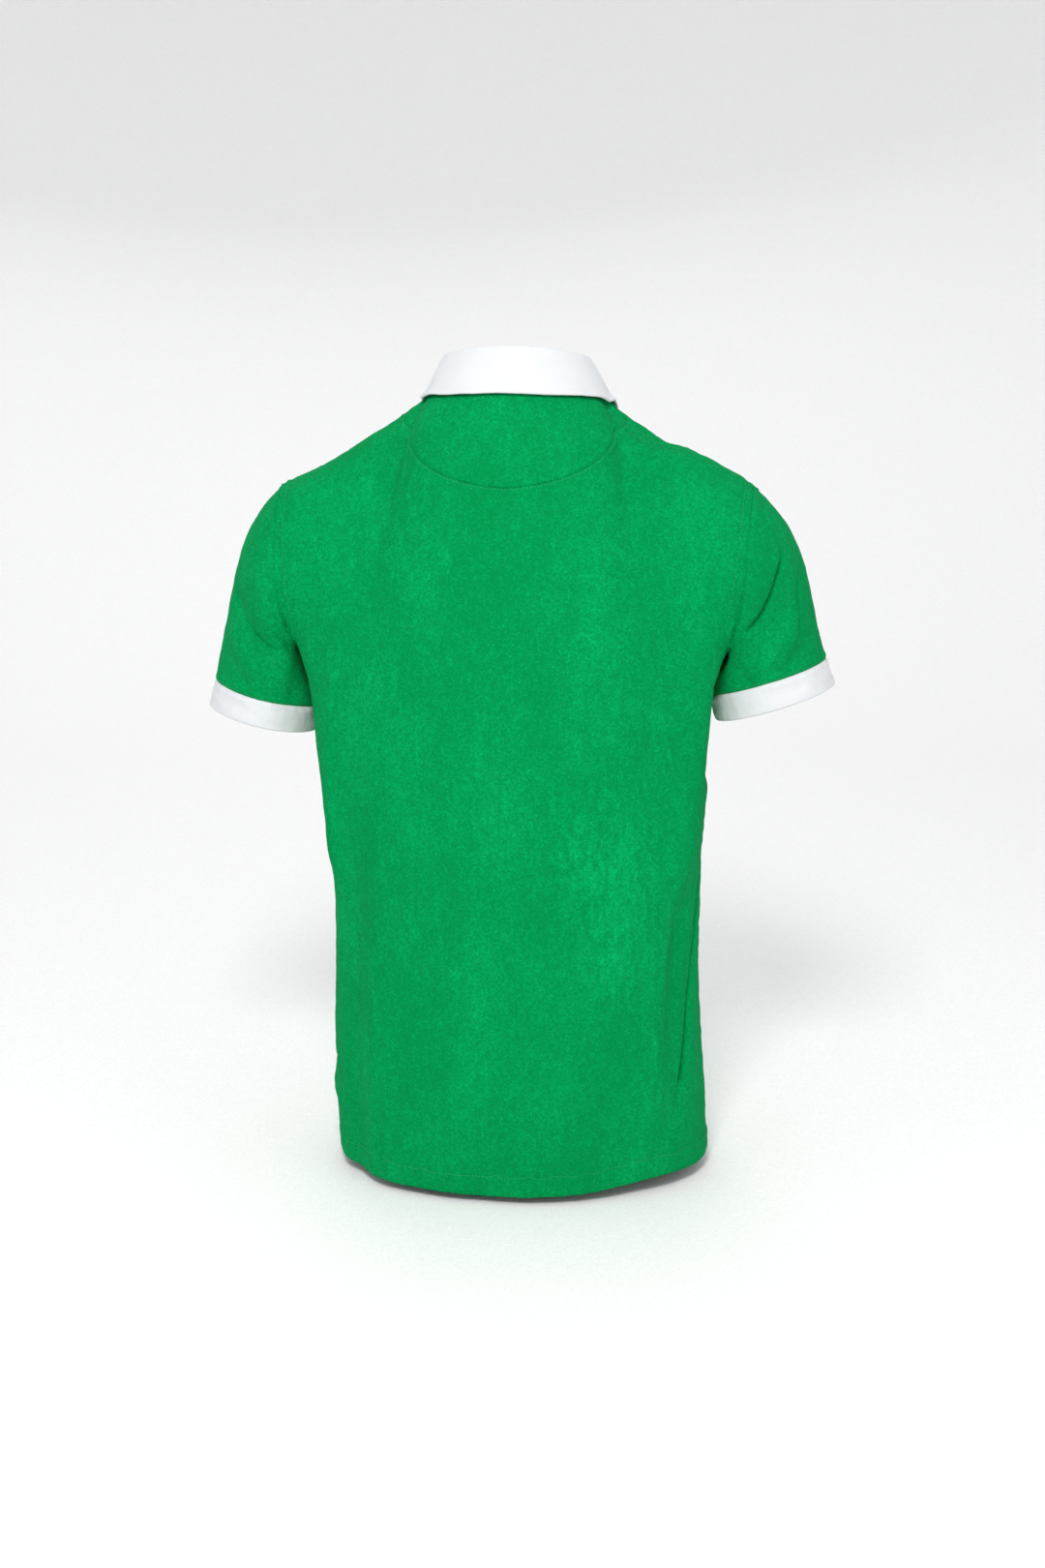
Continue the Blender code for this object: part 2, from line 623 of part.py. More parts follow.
def collar_path(base, away, bed):
    """Middle of the collar's knit, rows from the neck seam over the fold to the leaf's edge."""
    ahead = unit(np.gradient(base, axis=0))
    outward = unit(np.cross(ahead * [1, 1, 0], UP))
    step = np.linalg.norm(np.diff(base, axis=0), axis=1)
    place = np.concatenate([[0.0], np.cumsum(step)])
    place = place / place[-1] * 2.0 - 1.0
    back_to_side = np.abs(place)[:, None]            # 0 behind the neck, 1 at the front ends
    from_front = ahead * np.where(place < 0, 1.0, -1.0)[:, None]
    to_front = smooth((back_to_side - 0.35) / 0.65)
    point = np.clip((back_to_side - 0.45) / 0.55, 0.0, 1.0) ** 1.7

    stand = mix(COLLAR_STAND_BACK, COLLAR_STAND_FRONT, to_front)
    lean = mix(0.011, 0.004, to_front)
    drop = mix(COLLAR_DROP_BACK, COLLAR_DROP_FRONT, point)
    flare = mix(0.009, 0.022, point)
    swing = COLLAR_SWING * point

    def at(radial, height, sideways=0.0):
        return base + outward * radial + UP * height + from_front * sideways

    rows = [
        base + away * SEAM_GAP / 2,
        at(-0.35 * lean, 0.45 * stand),
        at(-lean, stand - 0.0030),
        at(-lean + 0.0010, stand - 0.0004),
        at(-lean + 0.0030, stand + 0.0006),
        at(-lean + 0.0050, stand - 0.0008),
    ]
    for part in LEAF_ROWS:
        radial = mix(-lean + 0.0062, flare, part) + 0.0035 * math.sin(part * math.pi)
        height = mix(stand - 0.0030, -drop, part)
        row = at(radial, height, swing * part)
        least = RIB / 2 + COLLAR_CLEAR
        most = least + 0.0010 if part == 1.0 else None
        row = evened(bed.settle(row, least, most))
        rows.append(bed.settle(row, least))
    return np.stack(rows)


def evened(row, rounds=3):
    """A row of points with its kinks smoothed out, its two ends kept."""
    for _ in range(rounds):
        row = row.copy()
        row[1:-1] = (row[:-2] + 2.0 * row[1:-1] + row[2:]) / 4.0
    return row


def build_collar(cloth, normals, shift):
    """Flat-knit collar, one closed wall about its path, its two ends meeting at the front."""
    seam = neck_seam(cloth)
    seam = np.append(seam, seam[0])
    base = cloth.points[seam].copy()
    out_of_cloth = normals[seam]
    away = unit(-(shift["front"][seam] + shift["back_yoke"][seam]
                  + shift["placket_under"][seam]))
    base[0] += ahead_of(base[1], base[0]) * COLLAR_END_GAP / 2
    base[-1] += ahead_of(base[-2], base[-1]) * COLLAR_END_GAP / 2
    path = collar_path(base, away, Bed(cloth, normals))

    flow = np.gradient(path, axis=0)
    round_neck = unit(np.gradient(path, axis=1))
    facing = unit(np.cross(round_neck, flow))
    facing *= np.sign(np.sum(facing[0] * out_of_cloth, axis=1))[None, :, None]
    pocket_side = path + facing * RIB / 2
    neck_side = path - facing * RIB / 2
    pocket_side[0] = path[0]
    neck_side[0] = path[0] - out_of_cloth * TERRY
    index = np.arange(path.shape[0] * path.shape[1]).reshape(path.shape[:2])
    faces = grid_faces(index, False, False, None)
    return wall("collar", pocket_side.reshape(-1, 3), neck_side.reshape(-1, 3), faces, "white")


def ahead_of(target, place):
    """Direction from a place to a target."""
    return unit(target - place)


# ---------------------------------------------------------------------------------- placket
def placket_frame(v, x):
    """Points of the front at the distance x from the middle, their normals, for each row v."""
    def place(row, side):
        return body_points(-1, side, row)

    u = np.sign(x) * middle_stop(v, abs(x)) if x else np.zeros_like(v)
    here = place(v, u)
    beside = place(v, u + 0.01) - place(v, u - 0.01)
    step = 0.004
    above = place(np.minimum(v + step, 1.0), u) - place(np.maximum(v - step, -1.0), u)
    return here, unit(np.cross(beside, above))


def build_top_placket():
    """Strip over the slit: the front's own points moved out past the under placket."""
    drop = np.linspace(0.0, 1.0, ARMHOLE_STEPS + 1)
    tail = -TOP_PLACKET_TAIL / (ARMPIT_Z - HEM_SIDE_Z)
    v = np.concatenate([[tail], drop])
    v[-1] -= 0.004
    stops = [placket_frame(v, x) for x in (-TOP_PLACKET_HALF, 0.0, TOP_PLACKET_HALF)]
    points = np.stack([stop[0] for stop in stops], axis=1)
    normals = np.stack([stop[1] for stop in stops], axis=1)
    lower = points + normals * LAY_GAP
    upper = lower + normals * TOP_PLACKET_CLOTH
    faces = grid_faces(np.arange(points.shape[0] * 3).reshape(-1, 3), False, False, None)
    return wall("placket_top", upper.reshape(-1, 3), lower.reshape(-1, 3), faces, "green")


def build_buttons():
    """Plain round buttons, each lying on the top placket."""
    pieces = []
    rows = np.linspace(0.0, 1.0, 101)
    points, normals = placket_frame(rows, 0.0)
    for number, height in enumerate(BUTTON_HEIGHTS, start=1):
        row = int(np.argmin(np.abs(points[:, 2] - height)))
        out = normals[row]
        name = f"button_{number}"
        rim = bmesh.new()
        bmesh.ops.create_cone(rim, cap_ends=True, segments=24, radius1=BUTTON_RADIUS,
                              radius2=BUTTON_RADIUS, depth=BUTTON_THICK)
        edges = [edge for edge in rim.edges if abs(edge.verts[0].co.z - edge.verts[1].co.z) < 1e-6]
        bmesh.ops.bevel(rim, geom=edges, offset=0.0006, segments=2, affect="EDGES")
        mesh = bpy.data.meshes.new(name)
        rim.to_mesh(mesh)
        rim.free()
        mesh.shade_smooth()
        mesh.set_sharp_from_angle(angle=math.radians(50))
        piece = bpy.data.objects.new(name, mesh)
        piece.data.materials.append(material(name, "button"))
        lift = LAY_GAP * 2 + TOP_PLACKET_CLOTH + BUTTON_THICK / 2
        piece.location = points[row] + out * lift
        piece.rotation_euler = (math.atan2(-out[1], out[2]), 0.0, 0.0)
        pieces.append(piece)
    return pieces


def main():
    for leftover in list(bpy.data.objects):
        bpy.data.objects.remove(leftover, do_unlink=True)
    shirt = bpy.data.collections.new("polo_shirt")
    bpy.context.scene.collection.children.link(shirt)
    held = bpy.data.objects.new("wearer_shoulders", None)
    shirt.objects.link(held)

    cloth, normals, shift, pieces = build_panels()
    pieces.append(build_collar(cloth, normals, shift))
    pieces.append(build_top_placket())
    pieces.extend(build_buttons())
    for piece in pieces:
        shirt.objects.link(piece)
        piece.parent = held


main()
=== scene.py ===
"""Looks of a towelling polo shirt, filled out as it hangs from a wearer's shoulders.

Metres, +Z up. The front faces -Y and the wearer's left is +X. The origin lies midway between the
two neck points. The panels repeat the sizes of the model's own solids on finer grids, and creases,
seams, stitches and the finish of every surface are laid on top of them.
"""
from __future__ import annotations

import logging
import math
from dataclasses import dataclass, field
from enum import Enum
from typing import NamedTuple

import bmesh
import bpy
import numpy as np
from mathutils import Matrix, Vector
from mathutils.bvhtree import BVHTree
from mathutils.kdtree import KDTree

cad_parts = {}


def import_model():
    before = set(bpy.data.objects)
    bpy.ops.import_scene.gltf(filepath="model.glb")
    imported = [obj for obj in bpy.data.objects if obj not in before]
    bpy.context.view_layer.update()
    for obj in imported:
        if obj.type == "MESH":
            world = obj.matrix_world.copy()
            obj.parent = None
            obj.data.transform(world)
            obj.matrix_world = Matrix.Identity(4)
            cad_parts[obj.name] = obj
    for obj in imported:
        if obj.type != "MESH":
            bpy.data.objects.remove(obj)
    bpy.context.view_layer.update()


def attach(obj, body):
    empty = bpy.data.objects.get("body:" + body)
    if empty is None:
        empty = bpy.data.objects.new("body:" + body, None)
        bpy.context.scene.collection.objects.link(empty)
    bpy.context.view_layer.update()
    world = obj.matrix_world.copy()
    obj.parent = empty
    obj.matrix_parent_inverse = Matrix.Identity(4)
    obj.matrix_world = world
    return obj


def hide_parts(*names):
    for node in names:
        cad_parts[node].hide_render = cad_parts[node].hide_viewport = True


Array = np.ndarray
Triple = tuple[float, float, float]
Piece = bpy.types.Object
Material = bpy.types.Material
Socket = bpy.types.NodeSocket
LOG = logging.getLogger("polo_shirt")

TERRY = 0.0019            # wall of the towelling panels
RIB = 0.0018              # wall of the ribbed collar
SEAM_GAP = 0.00004        # between two pieces at a seam, which is drawn tight
LAY_GAP = 0.0004          # between a piece and the one that it lies on
UP = np.array([0.0, 0.0, 1.0])
BACKWARD = np.array([0.0, 1.0, 0.0])


# ---- arithmetic
def unit(vectors: Array) -> Array:
    """Vectors scaled to length 1."""
    return vectors / np.maximum(np.linalg.norm(vectors, axis=-1, keepdims=True), 1.0e-12)


def smooth(t: Array) -> Array:
    """Rises from 0 to 1 with level ends: 3t^2 - 2t^3."""
    t = np.clip(t, 0.0, 1.0)
    return t * t * (3.0 - 2.0 * t)


def mix(start: Array | float, end: Array | float, t: Array | float) -> Array | float:
    """Straight blend from start to end."""
    return start + (end - start) * t


def bell(distance: Array, width: float) -> Array:
    """Bell of height 1 that falls to 0.37 at the given width."""
    return np.exp(-((distance / width) ** 2))


def quarter(t: Array) -> Array:
    """Quarter of a circle: falls from 1 at t = 0 to 0 at t = 1."""
    return np.sqrt(np.clip(1.0 - t**2, 0.0, 1.0))


def bezier(p0: Array, p1: Array, p2: Array, p3: Array, t: Array) -> Array:
    """Cubic curve through p0 and p3, pulled towards p1 and p2."""
    s = 1.0 - t
    return s**3 * p0 + 3 * s * s * t * p1 + 3 * s * t * t * p2 + t**3 * p3


def running(steps: Array) -> Array:
    """Running total of some steps, from 0."""
    return np.concatenate([[0.0], np.cumsum(steps)])


def step_lengths(points: Array, axis: int = 0) -> Array:
    """Distances from each point of a line or grid to the next one along an axis."""
    return np.linalg.norm(np.diff(points, axis=axis), axis=-1)


def on_line(line: Array, place: Array, stops: Array) -> Array:
    """Points of a line at some lengths along it, where place is the length up to each point."""
    return np.stack([np.interp(stops, place, line[:, axis]) for axis in range(3)], axis=1)


def round_stops(steps: int) -> Array:
    """Angles of so many equal steps round a circle."""
    return np.arange(steps) / steps * math.tau


def packed(steps: int, first: float, last: float, reach: float = 4.0) -> Array:
    """Stops from 0 to 1 whose first and last steps are shortened.

    Args:
        steps: number of steps.
        first: length of the first step as a share of a middle one.
        last: length of the last step as a share of a middle one.
        reach: number of steps over which the shortening fades.

    Returns:
        steps + 1 rising values.
    """
    place = np.arange(steps)
    widths = 1.0 - (1.0 - first) * np.exp(-place / reach)
    widths = widths - (1.0 - last) * np.exp(-(steps - 1 - place) / reach)
    stops = running(widths)
    return stops / stops[-1]


def ripple(points: Array, size: float, seed: int) -> Array:
    """Smooth uneven height from about -1 to 1: a sum of sine waves in seeded random directions.

    Args:
        points: places of the cloth.
        size: rough distance from crest to crest.
        seed: picks the directions and phases.

    Returns:
        One height for each point.
    """
    waves = 7
    rng = np.random.default_rng(seed)
    ways = unit(rng.normal(size=(waves, 3))) * (math.tau / size)
    ways *= rng.uniform(0.6, 1.5, size=(waves, 1))
    phases = rng.uniform(0.0, math.tau, size=waves)
    return np.sin(points @ ways.T + phases).sum(axis=-1) / math.sqrt(waves) * 0.7


# ---- the cut
class Face(Enum):
    """Which half of the body a point is on, and the sign of Y there."""

    BACK = 1
    FRONT = -1


class Ring(NamedTuple):
    """A ring of the body: its middle's shift towards +X, half width, depth behind and before."""

    z: float
    shift: float
    half_width: float
    back: float
    front: float


class Half(NamedTuple):
    """Sizes that the back and the front each have for themselves."""

    neck_depth: float         # middle of the neck seam, away from the shoulder line
    neck_rise: float          # and above the neck points
    neck_share: float         # how much of the panel's top edge, from 0 to 1, the neck seam takes
    neck_run: Triple          # way of the cloth at the neck seam's middle
    full: float               # how squarely the body's rings are filled out
    arm_pull: float           # pull on the cloth at the shoulder's end
    round_arm: float          # and round the armpit
    hem_dip: float            # middle of the hem, below its ends


@dataclass(frozen=True)
class BodyCut:
    """Sizes of the body and the surfaces of its panels."""

    back: Half = Half(0.060, 0.010, 0.40, (0.0, -0.45, 0.89), 0.63, 0.085, 0.100, 0.006)
    front: Half = Half(0.083, -0.080, 0.45, (0.0, 0.50, 0.87), 0.60, 0.075, 0.088, 0.002)
    neck_half: float = 0.074
    neck_pull: tuple[float, float] = (0.060, 0.045)     # at the neck's middle and its points
    shoulder_half: float = 0.210
    shoulder_drop: float = 0.081
    shoulder_sag: float = 0.25
    armpit_z: float = -0.225
    chest_dip: float = 0.028
    chest_pull: float = 0.095     # how far the body's slope carries on above the armpits
    slope_step: float = 0.02      # between the two rings that give that slope
    arm_in: float = 0.020         # pull towards the body's side at the armpit
    hem_side_z: float = -0.698
    hem_lift: float = 0.009       # how far the back's hem is caught up
    hem_lift_u: float = -0.62     # and where across the back
    placket_half: float = 0.0165
    yoke_half: float = 0.098
    yoke_drop: float = 0.087
    rings: tuple[Ring, ...] = (
        Ring(-0.706, -0.006, 0.1730, 0.130, 0.124),
        Ring(-0.625, -0.002, 0.1730, 0.127, 0.123),
        Ring(-0.545, 0.001, 0.1695, 0.122, 0.121),
        Ring(-0.455, 0.001, 0.1690, 0.117, 0.121),
        Ring(-0.400, 0.001, 0.1710, 0.115, 0.123),
        Ring(-0.325, 0.003, 0.1790, 0.116, 0.127),
        Ring(-0.225, 0.003, 0.1870, 0.119, 0.130),
    )
    neck_steps: int = 24
    yoke_stops: int = 8
    shoulder_steps: int = 46
    armhole_steps: int = 92
    body_steps: int = 172
    yoke_steps: int = 34

    def own(self, face: Face) -> Half:
        """Sizes of the back or of the front."""
        return self.back if face is Face.BACK else self.front

    def rows_below(self) -> Array:
        """Values of v from the hem (-1) to the armpits (0), closer together at the hem."""
        return packed(self.body_steps, 0.35, 1.0, 14.0) - 1.0

    def rows_above(self) -> Array:
        """Values of v from just above the armpits to the top (1), closer together at the top."""
        return packed(self.armhole_steps, 1.0, 0.35, 6.0)[1:]

    def ring_size(self, z: Array, column: str) -> Array:
        """One column of the rings at the heights z, along a smooth curve through the table.

        Args:
            z: heights.
            column: name of a field of Ring.

        Returns:
            The column's values, by cubic Hermite pieces whose slopes are the table's own.
        """
        heights = np.array([ring.z for ring in self.rings])
        values = np.array([getattr(ring, column) for ring in self.rings])
        slopes = np.gradient(values, heights)
        z = np.clip(z, heights[0], heights[-1])
        low = np.clip(np.searchsorted(heights, z, side="right") - 1, 0, len(heights) - 2)
        span = heights[low + 1] - heights[low]
        t = (z - heights[low]) / span
        ease = (values[low + 1] - values[low]) * t * t * (3.0 - 2.0 * t)
        start = t * (1.0 - t) ** 2 * slopes[low] * span
        finish = t * t * (1.0 - t) * slopes[low + 1] * span
        return values[low] + ease + start - finish

    def ring_points(self, face: Face, u: Array, z: Array) -> Array:
        """Body ring at height z: a quarter curve on each side, u from -1 to 1 across."""
        half = self.ring_size(z, "half_width")
        depth = self.ring_size(z, face.name.lower())
        full, t = self.own(face).full, np.abs(u)
        x = bezier(0.0, full, 1.0, 1.0, t) * half * np.sign(u) + self.ring_size(z, "shift")
        y = bezier(1.0, 1.0, full, 0.0, t) * depth * face.value
        return np.stack(np.broadcast_arrays(x, y, z), axis=-1)

    def neck_point(self, face: Face, angle: Array) -> Array:
        """Neck seam from the middle of a face (angle 0) to a neck point (90 degrees)."""
        own = self.own(face)
        return np.stack([self.neck_half * np.sin(angle),
                         face.value * own.neck_depth * np.cos(angle),
                         own.neck_rise * np.abs(np.cos(angle)) ** 1.5], axis=-1)

    def shoulder_point(self, t: Array) -> Array:
        """Shoulder seam from the neck point (0) to the armhole (1), hollowed by its sag."""
        x = mix(self.neck_half, self.shoulder_half, t)
        z = -self.shoulder_drop * (t + self.shoulder_sag * t * (1.0 - t))
        return np.stack([x, np.zeros_like(x), z], axis=-1)

    def top_edge(self, face: Face, u: Array) -> tuple[Array, Array, Array]:
        """Top of a panel: its points, the way the cloth runs up to them, and how stiffly.

        Args:
            face: back or front.
            u: places across the panel, from -1 to 1.

        Returns:
            Points, directions and pulls, one for each place.
        """
        own, share = self.own(face), self.own(face).neck_share
        t = np.abs(u)[..., None]
        along_neck = np.clip(t / share, 0.0, 1.0)
        along_shoulder = np.clip((t - share) / (1.0 - share), 0.0, 1.0)
        on_neck = self.neck_point(face, along_neck[..., 0] * math.pi / 2)
        points = np.where(t <= share, on_neck, self.shoulder_point(along_shoulder[..., 0]))
        slope = unit(self.shoulder_point(np.array(0.1)) - self.shoulder_point(np.array(0.0)))
        inward = 0.5 * (1.0 - along_shoulder) ** 2
        over = -face.value * BACKWARD * (1.0 - 0.5 * inward) - slope * inward
        runs = unit(mix(np.array(own.neck_run), over, smooth(along_neck)))
        reach = mix(mix(*self.neck_pull, along_neck), own.arm_pull, smooth(along_shoulder))
        turn = np.stack([np.where(u < 0, -1.0, 1.0), np.ones_like(u), np.ones_like(u)], axis=-1)
        return points * turn, runs * turn, reach

    def chest_height(self, u: Array) -> Array:
        """Height of the row between the armpits: level across the body, rising to each armpit."""
        return self.armpit_z - self.chest_dip * (1.0 - u**6)

    def chest_points(self, face: Face, u: Array, v: Array) -> Array:
        """Panel above the armpits: cubic curves from the body ring (v 0) to the top edge (v 1)."""
        foot = self.ring_points(face, u, self.chest_height(u))
        below = self.ring_points(face, u, self.chest_height(u) - self.slope_step)
        top, runs, reach = self.top_edge(face, u)
        climb = (foot - below) / self.slope_step * self.chest_pull
        round_arm = np.array([self.arm_in, face.value * self.own(face).round_arm, 0.0])
        round_arm = np.where(u[..., None] < 0, round_arm * [-1, 1, 1], round_arm)
        edge = np.abs(u)[..., None] ** 3.5
        return bezier(foot, foot + mix(climb, round_arm, edge), top - runs * reach, top,
                      v[..., None])

    def points(self, face: Face, u: Array, v: Array) -> Array:
        """Whole panel: v is -1 at the hem, 0 at the armpits and 1 at the neck and shoulders."""
        hem = self.hem_side_z - self.own(face).hem_dip * (1.0 - u * u)
        if face is Face.BACK:
            hem = hem + self.hem_lift * bell(u - self.hem_lift_u, 0.3) * (1.0 - u * u)
        below = self.ring_points(face, u, mix(self.chest_height(u), hem, np.clip(-v, 0.0, 1.0)))
        above = self.chest_points(face, u, np.clip(v, 0.0, 1.0))
        return np.where(v[..., None] < 0, below, above)

    def yoke_edge(self, u: Array) -> tuple[Array, float]:
        """The v at which the half-moon seam crosses the back: a half ellipse hung from the top."""
        share = self.back.neck_share
        reach = (self.yoke_half - self.neck_half) / (self.shoulder_half - self.neck_half)
        half = share + (1.0 - share) * reach
        middle = np.linspace(0.0, 1.0, 200)
        height = self.chest_points(Face.BACK, np.zeros(200), middle)[:, 2]
        depth = 1.0 - np.interp(self.back.neck_rise - self.yoke_drop, height, middle)
        return 1.0 - depth * np.sqrt(np.clip(1.0 - (u / half) ** 2, 0.0, 1.0)), half

    def shoulder_stops(self) -> Array:
        """Grid stops along the shoulder seam: over the yoke, then on, closer at the armhole."""
        yoke = (self.yoke_half - self.neck_half) / (self.shoulder_half - self.neck_half)
        over_yoke = yoke * np.sin(np.linspace(0.0, math.pi / 2, self.yoke_stops + 1))
        rest = mix(yoke, 1.0, packed(self.shoulder_steps, 1.0, 0.45)[1:])
        return np.concatenate([over_yoke, rest])

    def back_stops(self) -> Array:
        """Grid stops across the back."""
        share = self.back.neck_share
        neck = np.linspace(0.0, share, self.neck_steps + 1)
        return both_halves(np.concatenate([neck, mix(share, 1.0, self.shoulder_stops()[1:])]))

    def middle_stop(self, v: Array, x: float) -> Array:
        """The u at which each row of the front lies at the distance x from the middle."""
        fine = np.linspace(0.0, 0.4, 81)
        rows = [self.points(Face.FRONT, fine, np.full_like(fine, row))[:, 0] for row in v]
        return np.array([np.interp(x, row - row[0], fine) for row in rows])

    def front_stops(self, v: Array) -> Array:
        """Grid stops of the front, a row for each v, with straight columns at the slit's edges."""
        share = self.front.neck_share
        slit = self.middle_stop(v, self.placket_half)[:, None]
        neck = mix(slit, share, np.linspace(0.0, 1.0, self.neck_steps)[None, :])
        rest = np.repeat(mix(share, 1.0, self.shoulder_stops()[None, 1:]), len(v), axis=0)
        return both_halves(np.concatenate([np.zeros_like(slit), neck, rest], axis=1))


def both_halves(right_half: Array) -> Array:
    """Stops on both sides of the middle, from those on one side with the middle first."""
    return np.concatenate([-right_half[..., :0:-1], right_half], axis=-1)


@dataclass(frozen=True)
class ArmCut:
    """Sizes of one sleeve: the middle of its cuff's edge, its lean, and the cuff's radii."""

    word: str
    side: int
    x: float
    y: float
    z: float
    lean: float
    across: float
    fore: float
    cuff: float = 0.024
    pit_pull: float = 0.018       # pull on the sleeve's curves at the armpit, at both ends
    crown_pull: float = 0.060     # at the armhole, over the shoulder
    mouth_pull: float = 0.070     # at the cuff, on its outer side
    swell: float = 0.010          # how much fuller the cuff's edge is than its seam
    sleeve_steps: int = 104
    cuff_steps: int = 14

    def frame(self) -> tuple[Array, Array, Array]:
        """Axis down the sleeve, direction across its mouth, and the middle of the cuff's top."""
        axis = np.array([self.side * math.sin(self.lean), 0.0, -math.cos(self.lean)])
        across = np.array([self.side * math.cos(self.lean), 0.0, math.sin(self.lean)])
        return axis, across, np.array([self.side * self.x, self.y, self.z]) - axis * self.cuff

    def cuff_ring(self, angle: Array) -> Array:
        """Ellipse at the cuff's top: angle 0 is outermost, 90 degrees is at the back."""
        _, across, top = self.frame()
        return (top + np.cos(angle)[..., None] * self.across * across
                + np.sin(angle)[..., None] * self.fore * BACKWARD)

    def sleeve_points(self, hole: Array, angle: Array, t: Array) -> Array:
        """Sleeve: cubic curves from the armhole's points (t 0) to the cuff's ring (t 1)."""
        axis, _, _ = self.frame()
        above = 0.5 + 0.5 * np.cos(angle)[..., None]
        outward = np.array([self.side * 0.80, 0.0, -0.60])
        inward = np.array([self.side * 0.35, 0.0, -0.94])
        sideways = np.sin(angle)[..., None] * BACKWARD * 0.10
        leaves = unit(mix(inward, outward, above) + sideways)
        mouth = self.cuff_ring(angle)
        leave_pull = mix(self.pit_pull, self.crown_pull, above)
        mouth_pull = mix(self.pit_pull, self.mouth_pull, above)
        return bezier(hole, hole + leaves * leave_pull, mouth - axis * mouth_pull, mouth, t)

    def cuff_points(self, angle: Array, t: Array) -> Array:
        """Cuff from its seam (t 0) to its edge (t 1), standing a little fuller than the sleeve."""
        axis, _, top = self.frame()
        swell = 1.0 + self.swell * np.sin(t * math.pi / 2)
        return top + (self.cuff_ring(angle) - top) * swell + axis * self.cuff * t


ARMS = (
    ArmCut("left", 1, 0.237, -0.010, -0.295, math.radians(14), 0.0510, 0.0580),
    ArmCut("right", -1, 0.233, -0.010, -0.273, math.radians(18), 0.0555, 0.0535),
)


# ---- the folds
class On(Enum):
    """Which cloth a fold is in."""

    BODY = "body"
    SLEEVE = "sleeve"


class Fold(NamedTuple):
    """A fold: its cloth, its line's two ends, half its width, its height, and its lap.

    The lap is how far the cloth on the left of the line, seen from outside with the start below,
    is drawn over the line.
    """

    cloth: On
    start: tuple[float, ...]
    end: tuple[float, ...]
    width: float
    height: float
    lap: float = 0.0


def folds(cloth: On, rows: tuple[tuple[float, ...], ...]) -> tuple[Fold, ...]:
    """Folds of one cloth. A row is: start x, y, z, end x, y, z, width, height and any lap."""
    return tuple(Fold(cloth, row[:3], row[3:6], *row[6:]) for row in rows)


# The large folds, which the solids have too. The one from the right armhole is softer here, so
# that the finer cloth doesn't cross itself.
LARGE_FOLDS = folds(On.BODY, (
    (0.190, 0.000, -0.200, 0.180, 0.000, -0.365, 0.030, -0.015),
    (-0.184, 0.000, -0.200, -0.176, 0.000, -0.355, 0.030, -0.015),
    (0.176, 0.052, -0.180, 0.158, 0.058, -0.470, 0.024, 0.010),
    (-0.170, 0.052, -0.180, -0.150, 0.064, -0.460, 0.024, 0.014),
    (0.172, -0.062, -0.210, 0.155, -0.067, -0.480, 0.020, 0.005),
    (-0.168, -0.062, -0.210, -0.150, -0.070, -0.440, 0.020, 0.006),
    (0.152, 0.072, -0.330, 0.148, 0.085, -0.800, 0.016, -0.004),
    (-0.160, 0.050, -0.430, -0.150, 0.070, -0.660, 0.012, -0.007),
    (-0.140, 0.078, -0.430, -0.134, 0.085, -0.680, 0.014, 0.003),
    (-0.120, 0.095, -0.420, -0.120, 0.105, -0.960, 0.050, -0.007),
    (-0.215, 0.004, -0.085, -0.125, 0.010, -0.044, 0.018, 0.004),
    (-0.070, 0.010, 0.000, -0.150, 0.010, -0.060, 0.016, -0.005),
)) + folds(On.SLEEVE, (
    (0.262, 0.040, -0.165, 0.206, 0.050, -0.240, 0.012, -0.005),
    (0.258, 0.040, -0.200, 0.210, 0.045, -0.275, 0.014, 0.004),
    (-0.246, 0.045, -0.145, -0.205, 0.054, -0.214, 0.013, -0.0035),
    (-0.254, 0.040, -0.185, -0.214, 0.045, -0.255, 0.014, 0.004),
))

